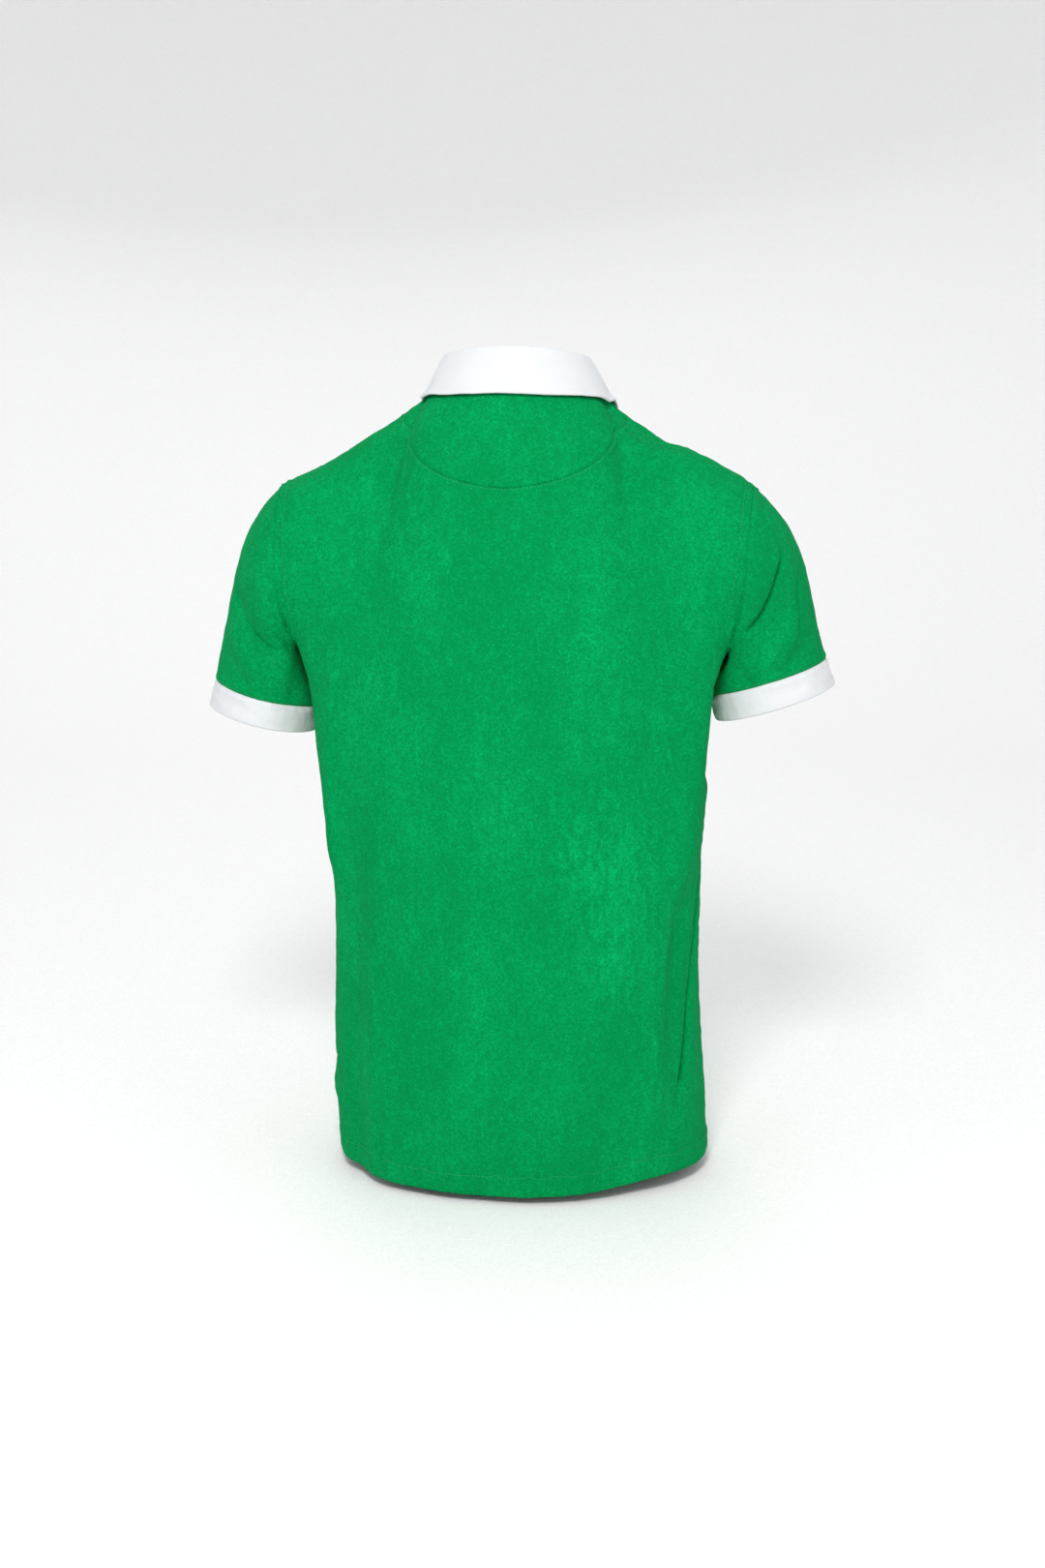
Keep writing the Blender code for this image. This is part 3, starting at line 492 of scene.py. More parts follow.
# Creases too fine for the solids: the back's follow the photo, and the front's are like them.
CREASES = folds(On.BODY, (
    # the sharp fold down the right side, and the soft ones beside it
    (-0.151, 0.062, -0.650, -0.170, 0.010, -0.420, 0.0042, -0.0110, 0.0042),
    (-0.144, 0.072, -0.640, -0.158, 0.032, -0.430, 0.0070, 0.0026),
    (-0.111, 0.090, -0.505, -0.128, 0.085, -0.600, 0.0040, -0.0013),
    (-0.116, 0.096, -0.240, -0.118, 0.086, -0.545, 0.0030, 0.0004),
    (-0.140, 0.074, -0.560, -0.146, 0.072, -0.690, 0.0060, -0.0012),
    # left side: a long edge, the flat plane outside it, and the band below
    (0.157, 0.080, -0.215, 0.164, 0.060, -0.430, 0.0055, 0.0026),
    (0.170, 0.060, -0.225, 0.174, 0.042, -0.460, 0.0070, -0.0036),
    (0.119, 0.098, -0.230, 0.124, 0.094, -0.720, 0.0045, 0.0014),
    (0.138, 0.078, -0.380, 0.140, 0.080, -0.730, 0.0110, -0.0024),
    (0.182, -0.020, -0.600, 0.158, 0.068, -0.625, 0.0055, -0.0036),
    (0.182, -0.020, -0.628, 0.160, 0.070, -0.650, 0.0070, 0.0022),
    # the right armhole's foot, where sleeve and body lie against each other
    (-0.187, -0.030, -0.200, -0.185, -0.034, -0.275, 0.0120, 0.0030),
)) + folds(On.SLEEVE, (
    (-0.190, -0.028, -0.208, -0.200, -0.030, -0.275, 0.0120, 0.0030),
)) + folds(On.BODY, (
    # a press line above the hem
    (0.090, 0.116, -0.620, -0.080, 0.116, -0.612, 0.0020, 0.0003),
    # dimples below the half-moon
    (0.022, 0.104, -0.112, -0.004, 0.108, -0.138, 0.0060, -0.0009),
    (-0.026, 0.104, -0.108, -0.002, 0.108, -0.140, 0.0060, -0.0009),
    (0.020, 0.108, -0.150, -0.030, 0.108, -0.146, 0.0090, 0.0007),
    # pull lines from the half-moon's right end to the right shoulder
    (-0.088, 0.034, -0.036, -0.150, 0.022, -0.054, 0.0055, 0.0014),
    (-0.092, 0.022, -0.031, -0.148, 0.016, -0.048, 0.0045, -0.0013),
    (-0.090, 0.048, -0.050, -0.168, 0.042, -0.078, 0.0060, -0.0012),
    (-0.100, 0.056, -0.062, -0.180, 0.052, -0.100, 0.0070, 0.0010),
    (0.094, 0.050, -0.052, 0.165, 0.048, -0.092, 0.0090, 0.0008),
)) + folds(On.SLEEVE, (
    # sleeves, back
    (0.258, 0.024, -0.170, 0.198, 0.046, -0.240, 0.0050, -0.0038),
    (0.244, 0.044, -0.190, 0.198, 0.040, -0.270, 0.0060, 0.0020),
    (0.262, 0.020, -0.215, 0.222, 0.040, -0.268, 0.0070, -0.0012),
    (-0.201, 0.056, -0.209, -0.244, 0.042, -0.124, 0.0032, -0.0064, 0.0010),
    (-0.196, 0.058, -0.202, -0.236, 0.048, -0.126, 0.0055, 0.0010),
    (-0.257, 0.026, -0.150, -0.252, 0.036, -0.215, 0.0034, -0.0036, 0.0014),
    (-0.256, 0.026, -0.174, -0.214, 0.048, -0.252, 0.0070, 0.0026),
    (-0.262, 0.020, -0.205, -0.232, 0.042, -0.246, 0.0060, -0.0012),
    # sleeves, front
    (0.250, -0.036, -0.160, 0.200, -0.056, -0.232, 0.0070, -0.0030),
    (0.256, -0.040, -0.188, 0.206, -0.056, -0.262, 0.0080, 0.0026),
    (-0.246, -0.036, -0.150, -0.200, -0.056, -0.214, 0.0070, -0.0034),
    (-0.254, -0.036, -0.178, -0.208, -0.054, -0.246, 0.0080, 0.0024),
)) + folds(On.BODY, (
    # front of the body: from the armholes in, down the sides, and across the waist
    (0.196, -0.060, -0.190, 0.110, -0.118, -0.262, 0.0120, -0.0022),
    (0.190, -0.066, -0.222, 0.120, -0.112, -0.312, 0.0120, 0.0020),
    (-0.196, -0.060, -0.186, -0.116, -0.114, -0.250, 0.0110, -0.0024),
    (-0.190, -0.066, -0.214, -0.112, -0.116, -0.318, 0.0130, 0.0020),
    (0.150, -0.078, -0.360, 0.146, -0.082, -0.640, 0.0080, -0.0022),
    (-0.156, -0.068, -0.400, -0.150, -0.076, -0.660, 0.0070, -0.0030),
    (-0.128, -0.098, -0.430, -0.134, -0.092, -0.600, 0.0090, 0.0016),
    (0.118, -0.104, -0.420, 0.124, -0.100, -0.680, 0.0080, 0.0014),
    (0.060, -0.122, -0.330, 0.020, -0.124, -0.480, 0.0140, -0.0012),
    (-0.066, -0.122, -0.360, -0.030, -0.124, -0.520, 0.0140, 0.0012),
    (0.094, -0.060, -0.060, 0.060, -0.116, -0.200, 0.0120, 0.0013),
    (-0.094, -0.060, -0.064, -0.056, -0.116, -0.220, 0.0120, -0.0012),
))
LARGE_REACH = 0.25        # share of the sleeve's length over which large folds fade at the armhole
CREASE_REACH = 0.08       # the same for the creases
FOLD_END = 0.25           # share of a fold's line over which it fades at each end
FOLD_DEPTH = 0.05         # a fold stays on the side of the body that its line is on


def fold_moves(table: tuple[Fold, ...], points: Array, normals: Array, into_sleeve: Array,
               reach: float) -> Array:
    """Moves that lay the folds: a bell across each line, fading over a quarter of it at each end.

    A lap moves the cloth beside the line sideways over it, by a bell that is centred one width
    away from the line.

    Args:
        table: the folds to lay.
        points: places of the cloth.
        normals: outward directions there.
        into_sleeve: 0 on the body, rising to 1 at the cuff.
        reach: share of the sleeve's length over which its folds fade in and the body's fade out.

    Returns:
        One move for each point.
    """
    total = np.zeros_like(points)
    on_sleeve = smooth(into_sleeve / reach)
    for fold in table:
        start = np.array(fold.start)
        line = np.array(fold.end) - start
        along = (points - start) @ line / (line @ line)
        away = points - start - np.clip(along, 0.0, 1.0)[:, None] * line
        through = np.sum(away * normals, axis=1)
        aside = np.sqrt(np.maximum(np.sum(away * away, axis=1) - through**2, 0.0))
        ends = smooth(along / FOLD_END) * smooth((1.0 - along) / FOLD_END)
        share = on_sleeve if fold.cloth is On.SLEEVE else 1.0 - on_sleeve
        share = share * ends * np.exp(-((through / FOLD_DEPTH) ** 4))
        total += normals * (fold.height * bell(aside, fold.width) * share)[:, None]
        if fold.lap:
            right = unit(np.cross(line, normals))
            place = np.sum(away * right, axis=1)
            total += right * (fold.lap * bell(place + fold.width, fold.width) * share)[:, None]
    return total


# ---- the cloth
@dataclass
class Panel:
    """Outer grid of one panel, rows up and columns across, and how its quads are made."""

    points: Array
    turned: bool = False
    closed: bool = False
    keep: Array | None = None
    group: str = "body"
    into_sleeve: Array | None = None

    def sleeve_share(self) -> Array:
        """How far along its sleeve each point is; 0 on the body."""
        if self.into_sleeve is None:
            return np.zeros(self.points.shape[:2])
        return np.broadcast_to(self.into_sleeve, self.points.shape[:2])


def grid_faces(index: Array, turned: bool = False, closed: bool = False,
               keep: Array | None = None) -> Array:
    """Quads of a grid of point numbers.

    Args:
        index: point numbers, rows up and columns across.
        turned: winds each quad the other way.
        closed: joins the last column to the first.
        keep: which quads are kept, or None for all.

    Returns:
        Four point numbers a row.
    """
    if closed:
        index = np.concatenate([index, index[:, :1]], axis=1)
    low, high = index[:-1], index[1:]
    quads = np.stack([low[:, :-1], low[:, 1:], high[:, 1:], high[:, :-1]], axis=-1)
    if turned:
        quads = quads[..., ::-1]
    quads = quads.reshape(-1, 4)
    return quads if keep is None else quads[keep.reshape(-1)]


def fan(centre: int, ring: Array) -> Array:
    """Triangles from a centre's point number to a closed ring of point numbers."""
    return np.stack([np.full(len(ring), centre), ring, np.roll(ring, -1)], axis=1)


class Seam(NamedTuple):
    """A sewn line: its kind, the numbers of its points, the panels it joins, whether it closes."""

    kind: str
    line: Array
    panels: tuple[str, ...]
    closed: bool = False


class Cloth:
    """The sewn panels, as grids of numbers into one list of points that they share at seams."""

    def __init__(self, panels: dict[str, Panel]) -> None:
        """Merges the panels' points where they meet."""
        self.panels = panels
        stacked = np.concatenate([panel.points.reshape(-1, 3) for panel in panels.values()])
        sleeve = np.concatenate([panel.sleeve_share().reshape(-1) for panel in panels.values()])
        rounded = np.round(stacked + 1.0e-8, 7)
        _, first, shared = np.unique(rounded, axis=0, return_index=True, return_inverse=True)
        shared = shared.reshape(-1)
        self.points = stacked[first]
        self.into_sleeve = np.ones(len(first))
        np.minimum.at(self.into_sleeve, shared, sleeve)
        self.index: dict[str, Array] = {}
        self.faces: dict[str, Array] = {}
        start = 0
        for name, panel in panels.items():
            shape = panel.points.shape[:2]
            count = shape[0] * shape[1]
            self.index[name] = shared[start:start + count].reshape(shape)
            self.faces[name] = grid_faces(self.index[name], panel.turned, panel.closed, panel.keep)
            start += count

    def normals(self) -> Array:
        """Outward normals of the points: the body's, each sleeve's and each cuff's count alike."""
        groups: dict[str, Array] = {}
        for name, panel in self.panels.items():
            total = groups.setdefault(panel.group, np.zeros_like(self.points))
            faces = self.faces[name]
            corners = self.points[faces]
            across = np.cross(corners[:, 2] - corners[:, 0], corners[:, 3] - corners[:, 1])
            for corner in range(4):
                np.add.at(total, faces[:, corner], across)
        return unit(sum(unit(total) for total in groups.values()))

    def towards(self, panel: str, seam: Seam, square: Array, size: float) -> Array:
        """Moves of a seam's points towards one of its panels.

        Args:
            panel: name of the panel.
            seam: the seam.
            square: directions square to the seam in the cloth, all on one side of it.
            size: length of the moves.

        Returns:
            The directions times the size, turned round if the panel is on their other side.
        """
        line = self.points[seam.line]
        place = np.full(len(self.points), -1)
        place[seam.line] = np.arange(len(seam.line))
        faces = self.faces[panel]
        centres = self.points[faces].mean(axis=1)
        side = 0.0
        for corner in range(4):
            at = place[faces[:, corner]]
            met = at >= 0
            side += np.sum((centres[met] - line[at[met]]) * square[at[met]])
        return square * math.copysign(size, side)

    def draw_back(self, normals: Array, seam: Seam) -> dict[str, Array]:
        """Shift of each panel's points away from a seam, square to the seam and its normals."""
        points = self.points[seam.line]
        ahead = np.roll(points, -1, axis=0) - points
        behind = points - np.roll(points, 1, axis=0)
        if not seam.closed:
            ahead[-1], behind[0] = behind[-1], ahead[0]
        square = unit(np.cross(normals[seam.line], unit(ahead) + unit(behind)))
        return {panel: self.towards(panel, seam, square, SEAM_GAP / 2) for panel in seam.panels}

    def to_seam(self, seam: Seam) -> tuple[Array, Array]:
        """Distance of every point of the cloth to a seam, and how far along the seam that is."""
        line = self.points[seam.line]
        if seam.closed:
            line = np.concatenate([line, line[:1]])
        place = running(step_lengths(line))
        count = max(int(place[-1] / 0.001), 2)
        stops = np.linspace(0.0, place[-1], count)
        fine = on_line(line, place, stops)
        tree = KDTree(count)
        for number, point in enumerate(fine):
            tree.insert(point, number)
        tree.balance()
        low, high = fine.min(axis=0) - SEAM_REACH, fine.max(axis=0) + SEAM_REACH
        near = np.flatnonzero(np.all((self.points > low) & (self.points < high), axis=1))
        distance = np.full(len(self.points), SEAM_REACH)
        along = np.zeros(len(self.points))
        for number in near:
            _, found, away = tree.find(self.points[number])
            if away < SEAM_REACH:
                distance[number] = away
                along[number] = stops[found]
        return distance, along


@dataclass(frozen=True)
class SeamLook:
    """How the cloth stands beside a seam: groove at the seam, ridges beside it, and puckers."""

    groove: float                 # depth at the seam
    ridge: float                  # height of the ridge beside it
    ridge_at: float = 0.0040      # distance of the ridge's crest
    stitch_at: float = 0.0        # distance of a line of topstitching, or 0 for none
    stitch: float = 0.0006        # depth of the topstitched line
    band: float = 0.0             # how far the cloth between seam and topstitching stands out
    pucker: float = 0.00035       # height of the short waves along the seam
    pucker_pitch: float = 0.011
    groove_wide: float = 0.0015   # from the middle of a groove to where it is a third as deep
    ridge_wide: float = 0.0022    # the same of a ridge

    def height(self, distance: Array, along: Array, seed: int, stitched: Array) -> Array:
        """Height of the cloth beside the seam.

        It is the ridge less the groove, less the stitched line, plus the raised band, and short
        waves along the seam that fade away from the line that draws them up.

        Args:
            distance: from each point to the seam.
            along: how far along the seam that is.
            seed: shifts the waves.
            stitched: 1 where the topstitching runs, 0 on the seam's other side.

        Returns:
            One height for each point.
        """
        lump = 1.0 + 0.35 * np.sin(along * math.tau / 0.037 + seed)
        total = -self.groove * bell(distance, self.groove_wide)
        total += self.ridge * bell(distance - self.ridge_at, self.ridge_wide) * lump
        if self.stitch_at:
            total -= self.stitch * bell(distance - self.stitch_at, self.groove_wide) * stitched
            inside = smooth(distance / 0.003) * smooth((self.stitch_at - distance) / 0.003)
            total += self.band * inside * stitched
        phase = along * math.tau / self.pucker_pitch
        uneven = 0.5 + 0.5 * np.sin(along * math.tau / 0.093 + 2.3 * seed)
        waves = np.sin(phase + 1.7 * np.sin(phase * 0.31 + seed)) * uneven
        from_line = np.abs(distance - self.stitch_at * stitched)
        fade = smooth((SEAM_REACH - distance) / 0.010)
        return total + self.pucker * waves * np.exp(-from_line / 0.008) * fade


SEAM_REACH = 0.040        # how far from a seam its puckers and ridges are worked out
SEAM_LOOKS = {
    "side": SeamLook(0.0008, 0.0003, pucker=0.0004, pucker_pitch=0.016),
    "shoulder": SeamLook(0.0007, 0.0006, stitch_at=0.0070, band=0.0003),
    "half_moon": SeamLook(0.0003, 0.0008, ridge_at=0.0034, pucker=0.00025),
    "slit": SeamLook(0.0004, 0.0, pucker=0.0),
    "armhole": SeamLook(0.0002, 0.0009, ridge_at=0.0036, stitch_at=0.0080),
    "cuff": SeamLook(0.0008, 0.0006, pucker=0.0003, pucker_pitch=0.008),
    "neck": SeamLook(0.0006, 0.0005, stitch_at=0.0065, pucker=0.0002),
    "hem": SeamLook(-0.0001, 0.0, stitch_at=0.0190, band=0.0007, pucker_pitch=0.0085),
}


def triangles(quads: Array, points: Array) -> Array:
    """Each quad cut along its shorter diagonal; a quad with two like corners gives one."""
    corners = points[quads]
    first = np.linalg.norm(corners[:, 0] - corners[:, 2], axis=1)
    second = np.linalg.norm(corners[:, 1] - corners[:, 3], axis=1)
    turned = np.where((first <= second)[:, None], quads, np.roll(quads, -1, axis=1))
    halves = np.concatenate([turned[:, [0, 1, 2]], turned[:, [0, 2, 3]]])
    a, b, c = halves.T
    return halves[(a != b) & (b != c) & (c != a)]


@dataclass
class Wall:
    """A closed wall of cloth: the same faces outside and inside, and a rim round every free edge.

    Attributes:
        outer: outer points.
        inner: inner points, one for each outer one.
        faces: quads over the points, wound so that the outer side faces out.
        place: place of each point in its flat cut, in metres.
        girth: length of the cut round a closed piece, or 0.
        roll: how far the rim bulges out at each point, as a vector.
        nap: how brushed the pile is at each point, from 0 to 1.
    """

    outer: Array
    inner: Array
    faces: Array
    place: Array
    girth: float = 0.0
    roll: Array | None = None
    nap: Array | None = None

    def build(self, name: str, finish: Material, slot: str) -> Piece:
        """Makes the object, with the map "cut" and the attribute "nap", riding on the body."""
        used, local = np.unique(self.faces, return_inverse=True)
        quads = local.reshape(self.faces.shape)
        count = len(used)
        edges = np.concatenate([quads[:, [k, (k + 1) % 4]] for k in range(4)])
        edges = edges[edges[:, 0] != edges[:, 1]]
        free = edges[~np.isin(edges[:, 0] * count + edges[:, 1],
                              edges[:, 1] * count + edges[:, 0])]
        outer, inner = self.outer[used], self.inner[used]
        roll = np.zeros_like(outer) if self.roll is None else self.roll[used]
        middle = (outer + inner) / 2 + roll
        points = np.concatenate([outer, inner, middle])
        skin = triangles(quads, points)
        a, b = free.T
        rim = np.concatenate([
            np.stack([b, a, a + 2 * count, b + 2 * count], axis=1),
            np.stack([b + 2 * count, a + 2 * count, a + count, b + count], axis=1),
        ])
        faces = np.concatenate([skin, skin[:, ::-1] + count, triangles(rim, points)])
        kept, faces = np.unique(faces, return_inverse=True)
        place = np.tile(self.place[used], (3, 1))[kept]
        nap = np.zeros(len(self.outer)) if self.nap is None else self.nap
        piece = add_mesh(name, points[kept], faces.reshape(-1, 3), finish, place, self.girth)
        layer = piece.data.attributes.new("nap", "FLOAT", "POINT")
        layer.data.foreach_set("value", np.tile(nap[used], 3)[kept].astype(np.float32))
        return dressed(piece)


def dressed(piece: Piece) -> Piece:
    """Lets a piece ride on the body."""
    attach(piece, "root")
    return piece


def grid_wall(outer: Array, inner: Array, place: Array, roll: Array | None = None,
              turned: bool = False, girth: float = 0.0) -> Wall:
    """Wall between two grids of points, which a girth closes round."""
    index = np.arange(outer[..., 0].size).reshape(outer.shape[:2])
    return Wall(outer.reshape(-1, 3), inner.reshape(-1, 3), grid_faces(index, turned, girth > 0),
                place.reshape(-1, 2), girth, None if roll is None else roll.reshape(-1, 3))


def add_mesh(name: str, points: Array, faces: Array, finish: Material,
             place: Array | None = None, girth: float = 0.0) -> Piece:
    """Makes a smooth-shaded object from arrays.

    Args:
        name: the object's name.
        points: corners.
        faces: point numbers, three or four a row.
        finish: material.
        place: place of each point on the map "cut", or None for no map.
        girth: length of the map round a closed piece, which runs on past its last column.

    Returns:
        The new object, linked to the scene.
    """
    mesh = bpy.data.meshes.new(name)
    sides = faces.shape[1]
    mesh.vertices.add(len(points))
    mesh.vertices.foreach_set("co", points.astype(np.float32).reshape(-1))
    mesh.loops.add(faces.size)
    mesh.loops.foreach_set("vertex_index", faces.astype(np.int32).reshape(-1))
    mesh.polygons.add(len(faces))
    mesh.polygons.foreach_set("loop_start", np.arange(0, faces.size, sides, dtype=np.int32))
    mesh.update(calc_edges=True)
    if place is not None:
        corners = place[faces]
        if girth:
            across = corners[:, :, 0]
            past = np.ptp(across, axis=1) > girth / 2
            across[past] += girth * (across[past] < across[past].max(axis=1)[:, None] - girth / 2)
        layer = mesh.uv_layers.new(name="cut")
        layer.data.foreach_set("uv", corners.astype(np.float32).reshape(-1))
    mesh.validate()
    mesh.shade_smooth()
    piece = bpy.data.objects.new(name, mesh)
    bpy.context.scene.collection.objects.link(piece)
    mesh.materials.append(finish)
    return piece


def flat_place(points: Array) -> Array:
    """Place of a grid's points on its flat cut: mean lengths along the rows and the columns."""
    x = running(step_lengths(points, 1).mean(axis=0))
    y = running(step_lengths(points).mean(axis=1))
    return np.stack(np.meshgrid(x, y), axis=-1).reshape(-1, 2)


# ---- finishes
class Blend:
    """Builds one material: a Principled shader, and nodes that feed its colour and bump."""

    def __init__(self, name: str) -> None:
        """Starts a material with its Principled shader."""
        self.material = bpy.data.materials.new(name)
        self.material.use_nodes = True
        self.tree = self.material.node_tree
        self.shader = self.tree.nodes["Principled BSDF"]

    def add(self, kind: str, vector: Socket | None = None, **values: object) -> bpy.types.Node:
        """Adds a node, which may be fed with a vector.

        Args:
            kind: type of the node.
            vector: what feeds its socket "Vector", or None.
            values: each sets the node's field of that name, or else its socket.

        Returns:
            The new node.
        """
        node = self.tree.nodes.new(kind)
        if vector is not None:
            self.join(vector, node.inputs["Vector"])
        for key, value in values.items():
            if hasattr(node, key):
                setattr(node, key, value)
            else:
                node.inputs[key.replace("_", " ")].default_value = value
        return node

    def join(self, start: Socket, end: Socket) -> None:
        """Links two sockets."""
        self.tree.links.new(start, end)

    def coords(self) -> Socket:
        """Places in the shirt's own frame."""
        return self.add("ShaderNodeTexCoord").outputs["Object"]

    def noise(self, coords: Socket, scale: float, detail: float, rough: float) -> Socket:
        """Height of a noise field of that scale."""
        node = self.add("ShaderNodeTexNoise", coords, Scale=scale, Detail=detail, Roughness=rough)
        return node.outputs["Fac"]

    def sum(self, parts: list[tuple[Socket, float]], start: float = 0.0) -> Socket:
        """Weighted sum of sockets, plus a constant."""
        total = None
        for socket, weight in parts:
            node = self.add("ShaderNodeMath", operation="MULTIPLY_ADD")
            self.join(socket, node.inputs[0])
            node.inputs[1].default_value = weight
            node.inputs[2].default_value = start
            if total is not None:
                self.join(total, node.inputs[2])
            total = node.outputs[0]
        return total

    def colour(self, factor: Socket, stops: list[tuple[float, tuple[float, ...]]]) -> None:
        """Feeds the colours of a ramp, placed by a factor, to the shader."""
        node = self.add("ShaderNodeValToRGB")
        elements = node.color_ramp.elements
        while len(elements) < len(stops):
            elements.new(0.5)
        for element, (place, colour) in zip(elements, stops):
            element.position = place
            element.color = (*colour, 1.0)
        self.join(factor, node.inputs["Fac"])
        self.join(node.outputs["Color"], self.shader.inputs["Base Color"])

    def bump(self, height: Socket, distance: float, strength: float) -> None:
        """Feeds a height to the shader's normal."""
        node = self.add("ShaderNodeBump", Distance=distance, Strength=strength)
        self.join(height, node.inputs["Height"])
        self.join(node.outputs["Normal"], self.shader.inputs["Normal"])

    def set(self, **values: object) -> None:
        """Sets constants on the shader's own sockets."""
        for key, value in values.items():
            self.shader.inputs[key.replace("_", " ")].default_value = value


@dataclass(frozen=True)
class Towelling:
    """Looped pile: mottled by the way the nap lies, speckled by its loops, and soft at the rim."""

    deep: Triple = (0.0003, 0.220, 0.055)
    plain: Triple = (0.0006, 0.296, 0.080)
    light: Triple = (0.0020, 0.395, 0.122)
    loop: float = 0.0010          # from loop to loop

    def material(self) -> Material:
        """Colour from three sizes of noise and the loops; bump from the loops and the nap."""
        blend = Blend("towelling")
        coords = blend.coords()
        loops = blend.add("ShaderNodeTexVoronoi", coords, feature="F1", Scale=1.0 / self.loop,
                          Randomness=0.9)
        each = blend.add("ShaderNodeSeparateColor")
        blend.join(loops.outputs["Color"], each.inputs["Color"])
        lay = blend.add("ShaderNodeMapping", coords, Scale=(1.0, 1.0, 0.45)).outputs["Vector"]
        cloud = blend.noise(lay, 15.0, 5.0, 0.68)
        patch = blend.noise(lay, 150.0, 5.0, 0.75)
        tuft = blend.noise(coords, 430.0, 4.0, 0.8)
        nap = blend.add("ShaderNodeAttribute", attribute_name="nap").outputs["Fac"]
        brushed = blend.add("ShaderNodeMath", operation="MULTIPLY")
        blend.join(nap, brushed.inputs[0])
        blend.join(patch, brushed.inputs[1])
        # each loop's own tone varies at random; the loops' distance term darkens the ground between
        # them, a painted shade that leaves the loop tops looking lit
        tone = blend.sum([(cloud, 0.46), (patch, 0.40), (tuft, 0.86), (each.outputs["Red"], 0.22),
                          (loops.outputs["Distance"], -0.16), (nap, -0.16),
                          (brushed.outputs[0], 0.50)], start=-0.50)
        blend.colour(tone, [(0.31, self.deep), (0.49, self.plain), (0.71, self.light)])
        height = blend.sum([(loops.outputs["Distance"], -0.35), (tuft, 1.1), (patch, 0.6)])
        blend.bump(height, 0.0010, 0.7)
        blend.set(Roughness=0.95, Sheen_Weight=0.06, Sheen_Roughness=0.5,
                  Sheen_Tint=(0.05, 1.0, 0.45, 1.0), Specular_IOR_Level=0.03)
        return blend.material


@dataclass(frozen=True)
class Knit:
    """White knit: fine ribs up the piece, rows of stitches across them."""

    name: str
    pitch: float = 0.00168        # from rib to rib
    row: float = 0.0013           # from row to row
    # groove is the painted shade of the knit in its grooves, crest the painted highlight on its
    # crests
    groove: Triple = (0.60, 0.615, 0.630)
    crest: Triple = (0.675, 0.690, 0.705)

    def material(self) -> Material:
        """Ribs and rows are bands on the map "cut"; painted shade keeps the grooves darker than the
        crests.
        """
        blend = Blend(self.name)
        place = blend.add("ShaderNodeUVMap", uv_map="cut").outputs["UV"]
        bands = []
        for direction, size in (("X", self.pitch), ("Y", self.row)):
            wave = blend.add("ShaderNodeTexWave", place, wave_type="BANDS",
                             bands_direction=direction, Scale=math.pi / 10.0 / size,
                             Distortion=0.25, Detail=1.0, Detail_Scale=3.0)
            bands.append(wave.outputs["Fac"])
        coords = blend.coords()
        fibre = blend.noise(coords, 1400.0, 2.0, 0.6)
        shade = blend.noise(coords, 60.0, 2.0, 0.5)
        # the rib and row bands darken the grooves and lighten the crests: painted shade and painted
        # highlight
        tone = blend.sum([(bands[0], 0.26), (bands[1], 0.05), (fibre, 0.25), (shade, 0.40)])
        blend.colour(tone, [(0.10, self.groove), (0.75, self.crest)])
        blend.bump(blend.sum([(bands[0], 0.8), (bands[1], 0.12), (fibre, 0.5)]), 0.00025, 0.5)
        blend.set(Roughness=0.88, Sheen_Weight=0.12, Sheen_Roughness=0.5, Specular_IOR_Level=0.2)
        return blend.material


@dataclass(frozen=True)
class Plain:
    """One smooth colour with a faint unevenness, for thread, buttons and the floor."""

    name: str
    colour: Triple
    roughness: float
    grain: float                  # scale of the unevenness: specks in a metre
    relief: float = 0.00015
    coat: float = 0.0

    def material(self) -> Material:
        """The colour varies a little with a noise, which also gives a slight bump."""
        blend = Blend(self.name)
        coords = blend.coords()
        speck = blend.noise(coords, self.grain, 2.0, 0.5)
        dark = tuple(0.86 * part for part in self.colour)
        light = tuple(min(1.06 * part, 1.0) for part in self.colour)
        blend.colour(speck, [(0.25, dark), (0.75, light)])
        blend.bump(speck, self.relief, 0.4)
        blend.set(Roughness=self.roughness, Coat_Weight=self.coat, Coat_Roughness=0.1)
        return blend.material


# ---- the panels
def along_line(line: Array, pitch: float) -> Array:
    """Points spaced evenly along a line, about a pitch apart, worked out by arc length."""
    place = running(step_lengths(line))
    count = max(int(round(place[-1] / pitch)), 2)
    return on_line(line, place, np.linspace(0.0, place[-1], count + 1))


class Ground:
    """Outer faces of some of the cloth, for what lies on it or is sewn into it."""

    def __init__(self, points: Array, faces: Array) -> None:
        """Keeps the faces in a search tree."""
        self.tree = BVHTree.FromPolygons(points.tolist(), triangles(faces, points).tolist())

    def nearest(self, points: Array) -> tuple[Array, Array]:
        """Nearest places of the cloth to some points, and its normals there."""
        found = [self.tree.find_nearest(Vector(point)) for point in points]
        return np.array([hit[0] for hit in found]), np.array([hit[1] for hit in found])

    def settle(self, points: Array, least: float, most: float | None = None) -> Array:
        """Points moved out to the height least, and in to the height most where it is given."""
        for _ in range(3):
            places, normals = self.nearest(points)
            height = np.sum((points - places) * normals, axis=1)
            goal = np.maximum(height, least)
            if most is not None:
                goal = np.minimum(goal, most)
            points = points + normals * (goal - height)[:, None]
        return points


